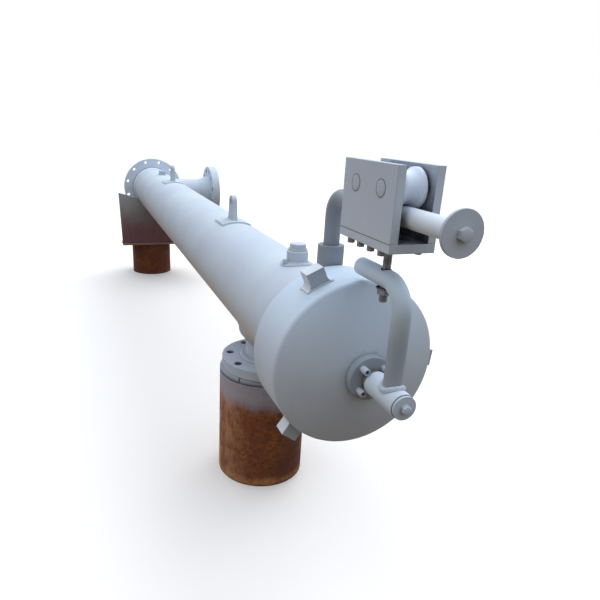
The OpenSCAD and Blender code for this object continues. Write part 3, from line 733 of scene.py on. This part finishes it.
# Shade scales a copy of the same paint: below 1 it is painted shade, on the lugs, the davit post and rail,
# the socket, the packing ring, the hub flange, the arm and the drain flange; above 1 it is painted light,
# on the nozzle, the trolley, the rollers, the sleeve and the outlet flange. The lit bands paint light along
# the rail's outer part and on the tops of the arm and cap, the lit sides paint light on the lugs, the
# underside tint paints shade under the barrel, and the deep colour paints shade inside the trolley and in
# the flanges' holes
paints = {
    "grey_paint": {},
    "barrel_paint": {"bore": barrel_bore, "underside_shade": 0.9},
    "nozzle_paint": {"bore": nozzle_bore, "shade": 1.04},
    "lug_paint": {"shade": 0.84, "sides": LUG_LIT_SIDES},
    "trolley_paint": {"shade": 1.05, "dirt_and_shade": 1.0, "reach": 0.10, "grime_and_shade_colour": DEEP_PAINTED_SHADE},
    "rail_paint": {"shade": 0.57, "rubbed_and_lit": (post_y - 0.03, rollers_y), "along": "Y", "upper": RAIL_PAINTED_LIGHT},
    "roller_paint": {"shade": 1.42, "dirt_and_shade": 0.4},
    "paint_with_painted_shade": {"shade": 0.57},
    "hub_paint": {"shade": 0.61, "dirt_and_shade": 0.35},
    "sleeve_paint": {"shade": 1.14},
    "arm_paint": {"shade": 0.66, "rubbed_and_lit": (arm_top - 0.16, arm_top), "upper": shaded(PAINT_COOL, 1.06)},
    "low_paint": {"shade": 0.94, "dirt_and_shade": 1.0, "reach": 0.045, "grime_and_shade_colour": DEEP_PAINTED_SHADE},
    "flange_paint": {"shade": 1.26, "dirt_and_shade": 1.0, "reach": 0.02, "grime_and_shade_colour": DEEP_PAINTED_SHADE, "bore": barrel_bore},
    "cap_paint": {"rubbed_and_lit": (axis_z - 0.02, axis_z + 0.20), "upper": PAINT_COOL},
    "weld_paint": {
        "peel_depth": 0.6 * MM, "peel_strength": 0.5, "soft_corners": False, "dirt_and_shade": 0.9, "wear": 0.3
    },
}
rusts = {
    # The near pedestal carries painted light on its left side and painted shade on its right
    "near_rust": {
        "bloom": 0.62, "scale_left": 0.35, "mist_heights": (near_top - 0.125, near_top - 0.055),
        "ragged": 0.08, "tilt": 0.06, "lit_to_shaded": (near_ped.x - ped_r, near_ped.x + ped_r)
    },
    "far_rust": {
        "bloom": 0.62, "scale_left": 0.4, "mist_heights": (far_top - 0.01, far_top + 0.12),
        "ragged": 0.06, "tone": RED_SCALE, "toned": 0.42, "foot": DULL_FOOT
    },
    "web_rust": {
        "bloom": 0.20, "scale_left": 0.3, "mist_heights": (web_top - 0.36, web_top - 0.02),
        "ragged": 0.16, "mist_colour": OVERSPRAY_GREY, "toned": 0.75
    },
    "plate_rust": {
        "bloom": 0.4, "scale_left": 0.3, "mist_heights": (web_top - 0.1, web_top),
        "ragged": 0.1, "tone": TAN_EDGE, "toned": 0.7
    },
}
steels = {
    "turned_steel": {
        "colour": (0.36, 0.36, 0.365, 1), "dark": (0.23, 0.225, 0.22, 1),
        "rough": (0.34, 0.48), "lines": (1, 25, 1), "metal": 0.75
    },
    "dark_steel": {
        "colour": (0.33, 0.34, 0.35, 1), "dark": (0.16, 0.16, 0.165, 1),
        "rough": (0.35, 0.55), "lines": (1, 1, 8), "metal": 0.4
    },
    # Darker than the rod's steel: painted shade on the nuts
    "nut_steel": {
        "colour": (0.15, 0.16, 0.18, 1), "dark": (0.08, 0.08, 0.085, 1),
        "rough": (0.4, 0.6), "lines": (1, 1, 8), "metal": 0.4
    },
}
finishes = {name: sprayed_paint(name, **looks) for name, looks in paints.items()}
finishes.update({name: rusty_steel(name, **looks) for name, looks in rusts.items()})
finishes.update({name: bare_steel(name, **looks) for name, looks in steels.items()})
finishes.update({"misted_bolts": misted_bolts(), "black_seal": black_seal()})

material_slots = {name: "grey_paint" for name in paints}
material_slots.update({
    "roller_paint": "roller_steel", "turned_steel": "machined_steel",
    "near_rust": "rusty_pipe", "far_rust": "rusty_pipe",
    "web_rust": "rusty_plate", "plate_rust": "rusty_plate",
    "dark_steel": "dark_steel", "nut_steel": "dark_steel",
    "misted_bolts": "dark_steel", "black_seal": "dark_steel",
})

# The frame's own nodes: their finish and softened corners

finish_of_slot = {
    "grey_paint": "grey_paint",
    "machined_steel": "turned_steel",
    "dark_steel": "dark_steel",
    "roller_steel": "roller_paint",
    "rusty_plate": "web_rust",
}
finish_of_node = {
    "near_pedestal": "near_rust", "far_pedestal": "far_rust", "saddle_base_plate": "plate_rust",
    "trolley_left_plate": "trolley_paint", "trolley_right_plate": "trolley_paint",
    "trolley_base_plate": "trolley_paint", "davit_tube": "rail_paint", "davit_socket": "paint_with_painted_shade",
    "hub_flange": "hub_paint", "bearing_sleeve": "sleeve_paint", "swing_arm": "arm_paint",
    "drain_flange": "low_paint", "packing_ring": "paint_with_painted_shade",
    "outlet_flange": "flange_paint", "closure_cap": "cap_paint", "barrel": "barrel_paint",
    "side_nozzle": "nozzle_paint", "side_nozzle_flange": "nozzle_paint",
    "hammer_lug_1": "lug_paint", "hammer_lug_2": "lug_paint", "hammer_lug_3": "lug_paint",
}
corner_of_node = {
    "rail_stop": 1.5, "hub_flange": 1.5, "sleeve_end_cap": 2.0, "bearing_sleeve": 1.5,
    "hammer_lug_1": 1.2, "hammer_lug_2": 1.2, "hammer_lug_3": 1.2, "closure_cap": 2.0,
    "davit_socket": 1.6, "signal_boss": 2.0, "mid_lug_pad": 1.5,
    "far_lug_pad": 1.5, "vent_pad": 1.5, "vent_plug": 1.5, "saddle_base_plate": 1.0,
    "saddle_web": 1.0, "front_roller": 1.5, "rear_roller": 1.5, "near_pedestal": 1.0, "far_pedestal": 1.0,
}


def smooth_by_angle_group(limit):
    """Welds a mesh's doubled points and keeps only its steep edges sharp."""
    group = bpy.data.node_groups.new("weld_and_smooth", "GeometryNodeTree")
    for way in ("INPUT", "OUTPUT"):
        group.interface.new_socket(name="Geometry", in_out=way, socket_type="NodeSocketGeometry")
    entry = group.nodes.new("NodeGroupInput")
    leave = group.nodes.new("NodeGroupOutput")
    inputs = {"Geometry": entry.outputs[0], "Distance": MERGE_WITHIN}
    merged = make_node(group, "GeometryNodeMergeByDistance", inputs)
    inputs = {"Geometry": merged.outputs[0]}
    soft = make_node(group, "GeometryNodeSetShadeSmooth", inputs, domain="FACE")
    angle = make_node(group, "GeometryNodeInputMeshEdgeAngle").outputs["Unsigned Angle"]
    steep = make_node(group, "FunctionNodeCompare", data_type="FLOAT", operation="GREATER_THAN")
    feed(group, steep.inputs["A"], angle)
    feed(group, steep.inputs["B"], limit)
    inputs = {"Geometry": soft.outputs[0], "Selection": steep.outputs["Result"], "Shade Smooth": False}
    sharp = make_node(group, "GeometryNodeSetShadeSmooth", inputs, domain="EDGE")
    feed(group, leave.inputs[0], sharp.outputs[0])
    return group


smoother = smooth_by_angle_group(NODE_SHARP_ABOVE)


def dress_node(name, piece):
    """A finish for a node of the frame, with its corners softened."""
    finish = finish_of_node.get(name) or finish_of_slot[slot_of[name]]
    piece.data.materials.clear()
    piece.data.materials.append(finishes[finish])
    shading = piece.modifiers.new("weld_and_smooth", "NODES")
    shading.node_group = smoother
    if name in corner_of_node:
        soften = piece.modifiers.new("soft_corners", "BEVEL")
        soften.width = corner_of_node[name] * MM
        soften.segments = 2
        soften.limit_method = "ANGLE"
        soften.angle_limit = BEVEL_ABOVE
        flatten = piece.modifiers.new("flat_faces", "WEIGHTED_NORMAL")
        flatten.keep_sharp = True


for node_name, node_object in nodes.items():
    dress_node(node_name, node_object)

# Welds

def weld(name, path, width, body="vessel", closed=True, finish="weld_paint"):
    """One bead as a piece."""
    add_piece(name, bead_mesh(path, width, closed), finish, body)


outlet_weld_y = low("outlet_flange").y
side_weld_x = low("side_nozzle_flange").x
drain_y = middle("drain_nozzle").y
drain_r = radius_across("drain_nozzle", 0)
vent_y = middle("vent_boss").y
vent_r = radius_across("vent_boss", 0)
vent_pad_r = radius_across("vent_pad", 0)
socket_r = radius_across("davit_socket", 0)
VENT_PAD_T = 5 * MM
LUG_PAD_T = 6 * MM

weld("outlet_girth_weld", ring_path((axis_x, outlet_weld_y, axis_z), (0, 1, 0), barrel_r), 5 * MM)
weld("side_girth_weld", ring_path((side_weld_x, side_y, axis_z), (1, 0, 0), side_r), 5 * MM)

side_saddle = []
for p in saddle_path(0, side_r + 2 * MM, barrel_r, x=0, z=0):
    side_saddle.append(Vector((axis_x + p.z, side_y + p.y, axis_z + p.x)))
weld("side_saddle_weld", side_saddle, 15 * MM)

# The thick collar that the drain nozzle stands on, under the barrel

COLLAR_R, COLLAR_T = 111 * MM, 32 * MM
DRAIN_HUB_R, DRAIN_HUB_H = 99 * MM, 12 * MM
collar_steps = [
    (drain_r - 0.6 * MM, COLLAR_T), (drain_r + 12 * MM, COLLAR_T),
    (COLLAR_R - 14 * MM, COLLAR_T - 1.5 * MM), (COLLAR_R - 6 * MM, COLLAR_T - 5 * MM),
    (COLLAR_R - 1.5 * MM, COLLAR_T - 11 * MM),
    (COLLAR_R, COLLAR_T - 17 * MM), (COLLAR_R + 0.5 * MM, -1 * MM),
]
collar_rings = [saddle_path(drain_y, radius, barrel_r + rise, -1) for radius, rise in collar_steps]
collar_verts = [spot for ring in collar_rings for spot in ring]
collar_faces = grid_faces(len(collar_rings), len(collar_rings[0]))
add_piece("drain_collar", (collar_verts, collar_faces), "barrel_paint", "vessel")
weld("drain_collar_weld", saddle_path(drain_y, COLLAR_R, barrel_r + 1 * MM, -1), 9 * MM)
weld("drain_nozzle_weld", saddle_path(drain_y, drain_r + 1 * MM, barrel_r + COLLAR_T, -1), 8 * MM)
drain_hub_top = high("drain_flange").z
weld("drain_hub_weld", ring_path((axis_x, drain_y, drain_hub_top), (0, 0, 1), drain_r + 1 * MM), 10 * MM)
drain_plate_top = drain_hub_top - DRAIN_HUB_H
weld("drain_hub_foot_weld", ring_path((axis_x, drain_y, drain_plate_top), (0, 0, 1), DRAIN_HUB_R), 14 * MM)

# Welds on the crown

weld("vent_pad_weld", saddle_path(vent_y, vent_pad_r, barrel_r + 1 * MM), 7 * MM)
weld("vent_boss_weld", saddle_path(vent_y, vent_r, barrel_r + VENT_PAD_T), 8 * MM)
weld("socket_weld", saddle_path(post_y, socket_r, barrel_r + 1 * MM), 11 * MM)

signal_y = middle("signal_boss").y
signal_half = radius_across("signal_boss", 0)
weld("signal_boss_weld", crown_box_path(signal_y, signal_half, signal_half, barrel_r + 1 * MM), 8 * MM)

for place in ("mid", "far"):
    pad, lug = place + "_lug_pad", place + "_lifting_lug"
    y = middle(pad).y
    outline = crown_box_path(y, radius_across(pad, 0), radius_across(pad, 1), barrel_r + 1 * MM)
    weld(place + "_lug_pad_weld", outline, 5 * MM)
    foot = crown_box_path(y, radius_across(lug, 0), radius_across(lug, 1), barrel_r + LUG_PAD_T + 1 * MM)
    weld(place + "_lug_foot_weld", foot, 7 * MM)

# Welds on the rail and the saddle

rail_r = radius_across("davit_tube", 0)
stop_back = high("rail_stop").y
weld("rail_stop_weld", ring_path((axis_x, stop_back, rail_z), (0, 1, 0), rail_r), 7 * MM)

web_y = middle("saddle_web").y
web_half_t = radius_across("saddle_web", 1)
WEB_SLOPE = 42 * MM
base_top = high("saddle_base_plate").z
hug_r = barrel_r + 1 * MM
hug_start = math.asin((axis_z - web_top + WEB_SLOPE) / hug_r)
foot_half = radius_across("saddle_base_plate", 0) - 4 * MM
for name, y in (("front", web_y - web_half_t), ("back", web_y + web_half_t)):
    hug = arc_path(y, hug_r, math.pi + hug_start, math.pi - 2 * hug_start, 120)
    weld("web_hug_weld_" + name, hug, 12 * MM, closed=False)
    foot = [Vector((axis_x - foot_half, y, base_top)), Vector((axis_x + foot_half, y, base_top))]
    weld("web_foot_weld_" + name, foot, 6 * MM, closed=False, finish="web_rust")

# The swing arm's weld on its sleeve, and its closed end

arm_r = radius_across("swing_arm", 0)
arm_y = low("swing_arm").y + arm_r
sleeve_r = radius_across("bearing_sleeve", 0)
weld("arm_foot_weld", saddle_path(arm_y, arm_r + 1.5 * MM, sleeve_r + 0.5 * MM), 15 * MM, body="trolley")
arm_end = high("swing_arm").y
arm_leg_z = high("swing_arm").z - arm_r
PLUG_SUNK, PLUG_BULGE, PLUG_ROWS = 2 * MM, 9 * MM, 7
plug_r = arm_r * 0.985
end_rows = []
for i in range(PLUG_ROWS):
    a = math.pi / 2 * i / (PLUG_ROWS - 1)
    end_rows.append((-PLUG_SUNK + PLUG_BULGE * math.sin(a), max(plug_r * math.cos(a), POINT)))
arm_plug = lathe_mesh(end_rows, (axis_x, arm_end, arm_leg_z), (0, 1, 0))
add_piece("arm_end_plug", arm_plug, "arm_paint", "trolley")

# The trolley's screws, axle ends and plate seams

trolley_mid = middle("trolley_base_plate")
side_plate_x = {"left": middle("trolley_left_plate").x, "right": middle("trolley_right_plate").x}
base_under = low("trolley_base_plate").z
SCREWS_A_SIDE, SCREW_STEP = 4, 45 * MM
SCREW_D, SCREW_H, SCREW_KEY = 17 * MM, 12 * MM, 8 * MM
for side, x in side_plate_x.items():
    heads = []
    for i in range(SCREWS_A_SIDE):
        y = trolley_mid.y + SCREW_STEP * (i - (SCREWS_A_SIDE - 1) / 2)
        heads.append(socket_screw((x, y, base_under), (0, 0, -1), SCREW_D, SCREW_H, SCREW_KEY))
    add_piece("base_screws_" + side, joined(heads), "misted_bolts", "trolley")

outer_x = {"left": low("trolley_left_plate").x, "right": high("trolley_right_plate").x}
axle_r = radius_across("front_axle", 1)
for axle in ("front_axle", "rear_axle"):
    spot = middle(axle)
    for side, x in outer_x.items():
        ring = ring_path((x, spot.y, spot.z), (1, 0, 0), axle_r + 0.3 * MM, 90)
        weld(axle + "_joint_" + side, ring, 1.3 * MM, body="trolley", finish="black_seal")
        way = (-1, 0, 0) if side == "left" else (1, 0, 0)
        rim = axle_r - 0.3 * MM
        end_rows = [(0, rim), (0.4 * MM, rim), (0.6 * MM, axle_r - 1.2 * MM), (0.6 * MM, POINT)]
        axle_end = lathe_mesh(end_rows, (x, spot.y, spot.z), way, 64)
        add_piece(axle + "_end_" + side, axle_end, "grey_paint", "trolley")
trolley_base_top = high("trolley_base_plate").z
seam_front, seam_back = low("trolley_base_plate").y, high("trolley_base_plate").y
for side, x in outer_x.items():
    seam = [Vector((x, seam_front, trolley_base_top)), Vector((x, seam_back, trolley_base_top))]
    weld("plate_seam_" + side, seam, 1.0 * MM, body="trolley", closed=False, finish="black_seal")

# The hanger rod with its thread, nuts and washers

rod_mid = middle("hanger_rod")
rod_r = radius_across("hanger_rod", 0)
rod_low, rod_high = low("hanger_rod").z, high("hanger_rod").z
rod_len = rod_high - rod_low
rod_rows = [(0, 2 * POINT), (0, rod_r * 0.8), (1.5 * MM, rod_r * 0.88)]
rod_rows += thread_rows(1.6 * MM, rod_len - 3.2 * MM, rod_r, rod_r * 0.87, 2.5 * MM, 6)
rod_rows += [(rod_len - 1.5 * MM, rod_r * 0.88), (rod_len, rod_r * 0.8), (rod_len, 2 * POINT)]
rod_shape = lathe_mesh(rod_rows, (rod_mid.x, rod_mid.y, rod_low), (0, 0, 1), 32)
rod = add_piece("threaded_rod", rod_shape, "dark_steel", "trolley")
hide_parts("hanger_rod")
# A dark ring round the rod where it leaves the arm: painted shade in the gap
rod_hole_shade_ring = saddle_path(rod_mid.y, rod_r + 1 * MM, arm_r, 1, x=axis_x, z=arm_leg_z)
weld("rod_hole_shade", rod_hole_shade_ring, 2.4 * MM, body="trolley", finish="black_seal")

nut_flats = high("hanger_nuts").y - low("hanger_nuts").y
NUT_H, WASHER_T = 16 * MM, 3 * MM
nut_parts = []
for z, way in ((trolley_base_top, 1), (arm_leg_z - arm_r, -1)):
    at = (rod_mid.x, rod_mid.y, z)
    nut_parts.append(hex_head(at, (0, 0, way), nut_flats, NUT_H - WASHER_T, WASHER_T))
nuts = add_piece("chamfered_nuts", joined(nut_parts), "nut_steel", "trolley")
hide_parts("hanger_nuts")

# The screws on the cap's middle, the bolts on the sleeve's end and the rail's stop, and the lugs' welds

flange_front = low("hub_flange").y
HUB_SCREWS = 4
HUB_SCREW_START = math.radians(40)
HUB_SCREW_CIRCLE_R = 39 * MM
HUB_SCREW_D, HUB_SCREW_H, HUB_SCREW_KEY = 17 * MM, 24 * MM, 10 * MM
RECESS_TOP, RECESS_DEPTH = 23.2 * MM, 6.8 * MM
recess_edge = hexagon(HUB_SCREW_KEY + 0.2 * MM)
recess_rows = [(0, recess_edge), (-RECESS_DEPTH, recess_edge), (-RECESS_DEPTH, POINT)]
hub_screws, recesses = [], []
for i in range(HUB_SCREWS):
    a = HUB_SCREW_START + TURN * i / HUB_SCREWS
    x = axis_x + HUB_SCREW_CIRCLE_R * math.cos(a)
    z = axis_z + HUB_SCREW_CIRCLE_R * math.sin(a)
    at = (x, flange_front, z)
    hub_screws.append(socket_screw(at, (0, -1, 0), HUB_SCREW_D, HUB_SCREW_H, HUB_SCREW_KEY))
    recesses.append(lathe_mesh(recess_rows, (x, flange_front - RECESS_TOP, z), (0, -1, 0)))
add_piece("hub_screws", joined(hub_screws), "grey_paint", "cap")
# Black cups inside the screws' recesses: painted shade
add_piece("hub_screw_recesses", joined(recesses), "black_seal", "cap")

end_front = low("sleeve_end_cap").y
end_bolt = hex_head((axis_x, end_front, axis_z), (0, -1, 0), 19 * MM, 10 * MM, 2.5 * MM)
add_piece("sleeve_end_bolt", end_bolt, "grey_paint", "cap")
end_back = high("sleeve_end_cap").y
joint_r = radius_across("sleeve_end_cap", 0)
end_joint = ring_path((axis_x, end_back - 0.6 * MM, axis_z), (0, 1, 0), joint_r)
weld("sleeve_end_joint", end_joint, 1.8 * MM, body="cap", finish="black_seal")

stop_front = low("rail_stop").y
stop_bolt = hex_head((axis_x, stop_front, rail_z), (0, -1, 0), 24 * MM, 11 * MM)
add_piece("rail_stop_bolt", stop_bolt, "grey_paint", "vessel")

lug_front, lug_back = low("hammer_lug_1").y, high("hammer_lug_1").y
HAMMER_LUGS = 3
# Half the width of a hammer lug's flared foot
LUG_FOOT_HALF = 37.5 * MM
lug_spot = middle("hammer_lug_1")
lug_turn = math.atan2(lug_spot.z - axis_z, lug_spot.x - axis_x)
spread = math.asin(LUG_FOOT_HALF / cap_r)
for i in range(HAMMER_LUGS):
    a = lug_turn + TURN * i / HAMMER_LUGS
    for end, y in (("front", lug_front), ("back", lug_back)):
        foot = arc_path(y, cap_r, a - spread, 2 * spread, 24)
        weld(f"hammer_lug_{i + 1}_weld_{end}", foot, 8 * MM, body="cap", closed=False)

# The closure hub with its screw thread

closure_front = low("closure_hub").y
hub_len = high("closure_hub").y - closure_front
hub_r = radius_across("closure_hub", 0)
THREAD_BAND = 60 * MM
hub_rows = [
    (hub_len, barrel_r), (hub_len, bore_r), (0, bore_r), (0, bore_r + 9 * MM), (4 * MM, bore_r + 10 * MM),
    (4 * MM, bore_r + 15 * MM), (0, bore_r + 16 * MM), (0, hub_r - 7 * MM), (3 * MM, hub_r - 5.5 * MM)
]
hub_rows += thread_rows(3.2 * MM, THREAD_BAND - 6 * MM, hub_r - 0.1 * MM, hub_r - 5 * MM, 10 * MM, 8)
hub_rows += [
    (THREAD_BAND, hub_r - 5 * MM), (THREAD_BAND + 2 * MM, hub_r - 1 * MM),
    (THREAD_BAND + 12 * MM, hub_r - 1.5 * MM), (hub_len, barrel_r)
]
hub_shape = lathe_mesh(hub_rows, (axis_x, closure_front, axis_z), (0, 1, 0), 144)
threaded_hub = add_piece("threaded_hub", hub_shape, "turned_steel", "vessel")
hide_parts("closure_hub")

# A weep nipple on the vent's pad

weep_out = vent_pad_r - 6 * MM
weep_rise = math.sqrt((barrel_r + VENT_PAD_T) ** 2 - weep_out ** 2)
weep_at = Vector((axis_x - weep_out, vent_y - 10 * MM, axis_z + weep_rise - 2 * MM))
weep_way = Vector((-0.36, 0, 0.93))
weep_rows = [(0, 9 * MM), (3 * MM, 8 * MM), (3 * MM, 6 * MM), (14 * MM, 6 * MM), (15 * MM, 5 * MM),
             (15 * MM, 3 * MM), (9 * MM, 3 * MM), (9 * MM, POINT)]
add_piece("weep_nipple", lathe_mesh(weep_rows, weep_at, weep_way, 32), "grey_paint", "vessel")

# Floor, light and camera

def seen_or_mirrored(tree):
    """One where the camera sees a surface, by itself or in metal or glass."""
    path = make_node(tree, "ShaderNodeLightPath").outputs
    mirrored = calc(tree, "ADD", path["Is Glossy Ray"], path["Is Transmission Ray"], clamp=True)
    return calc(tree, "ADD", path["Is Camera Ray"], mirrored, clamp=True)


def pale_floor():
    """A pale floor that throws back a warm earth tone."""
    half = 60
    corners = [(-half, -half, 0), (half, -half, 0), (half, half, 0), (-half, half, 0)]
    mesh = bpy.data.meshes.new("floor")
    mesh.from_pydata(corners, [], [(0, 1, 2, 3)])
    floor = bpy.data.objects.new("floor", mesh)
    bpy.context.scene.collection.objects.link(floor)
    material, tree, shader = new_finish("floor", 0.9, shine=0.0)
    colour = tint(tree, seen_or_mirrored(tree), FLOOR_BOUNCE, FLOOR_SEEN)
    feed(tree, shader.inputs["Base Color"], colour)
    mesh.materials.append(material)


def overcast_sky():
    """A soft sky, bright overhead, that shows as plain white behind the object."""
    world = bpy.data.worlds.new("overcast")
    world.use_nodes = True
    tree = world.node_tree
    background = tree.nodes["Background"]
    up = make_node(tree, "ShaderNodeTexCoord").outputs["Generated"]
    way = make_node(tree, "ShaderNodeSeparateXYZ", {0: up}).outputs
    back_lean = calc(tree, "MULTIPLY", way["Y"], 0.22)
    right_lean = calc(tree, "MULTIPLY", way["X"], 0.14)
    lean = calc(tree, "ADD", way["Z"], calc(tree, "ADD", back_lean, right_lean))
    share = make_node(tree, "ShaderNodeMapRange", {0: lean, 1: -0.1, 2: 1.0}).outputs[0]
    sky = tint(tree, share, SKY_LOW, SKY_HIGH)
    feed(tree, background.inputs["Color"], tint(tree, seen_or_mirrored(tree), sky, WHITE))
    bpy.context.scene.world = world


def soft_lamp(name, at, towards, size, watts, colour):
    """A large area lamp."""
    lamp = bpy.data.lights.new(name, "AREA")
    lamp.shape = "DISK"
    lamp.size = size
    lamp.energy = watts
    lamp.color = colour
    holder = bpy.data.objects.new(name, lamp)
    bpy.context.scene.collection.objects.link(holder)
    holder.location = at
    holder.rotation_mode = "QUATERNION"
    holder.rotation_quaternion = (Vector(towards) - Vector(at)).to_track_quat("-Z", "Y")


EYE = Vector((-0.6994, -2.8741, 1.2668))
YAW, PITCH, ROLL = math.radians(20.31), math.radians(20.30), math.radians(2.62)
FOCAL_PX, FRAME_PX = 539.9, 600
MIDDLE_PX = (275, 325)


def photo_camera():
    """The camera at the photograph's view, its frame off centre as the photograph's is."""
    lens = bpy.data.cameras.new("camera")
    lens.sensor_width = 36
    lens.lens = FOCAL_PX / FRAME_PX * lens.sensor_width
    lens.shift_x = (FRAME_PX / 2 - MIDDLE_PX[0]) / FRAME_PX
    lens.shift_y = (MIDDLE_PX[1] - FRAME_PX / 2) / FRAME_PX
    lens.clip_end = 200
    camera = bpy.data.objects.new("camera", lens)
    bpy.context.scene.collection.objects.link(camera)
    ahead = Vector((math.sin(YAW) * math.cos(PITCH), math.cos(YAW) * math.cos(PITCH), -math.sin(PITCH)))
    level = Vector((math.cos(YAW), -math.sin(YAW), 0))
    up = level.cross(ahead)
    right = math.cos(ROLL) * level + math.sin(ROLL) * up
    top = math.cos(ROLL) * up - math.sin(ROLL) * level
    turn = Matrix((right, top, -ahead)).transposed().to_4x4()
    camera.matrix_world = Matrix.Translation(EYE) @ turn
    bpy.context.scene.camera = camera


pale_floor()
overcast_sky()
soft_lamp("top_lamp", at=(3.6, 2.6, 6.0), towards=(0, 0.2, 0.7), size=5.0, watts=150,
          colour=(1.0, 0.99, 0.97))
soft_lamp("left_fill", at=(-1.7, -1.62, 0.35), towards=(-0.2, -1.62, 0.5), size=0.8, watts=2.2,
          colour=(1.0, 0.88, 0.74))
photo_camera()
bpy.context.scene.view_settings.view_transform = "Standard"

# Bring the scene up to date

bpy.context.view_layer.update()
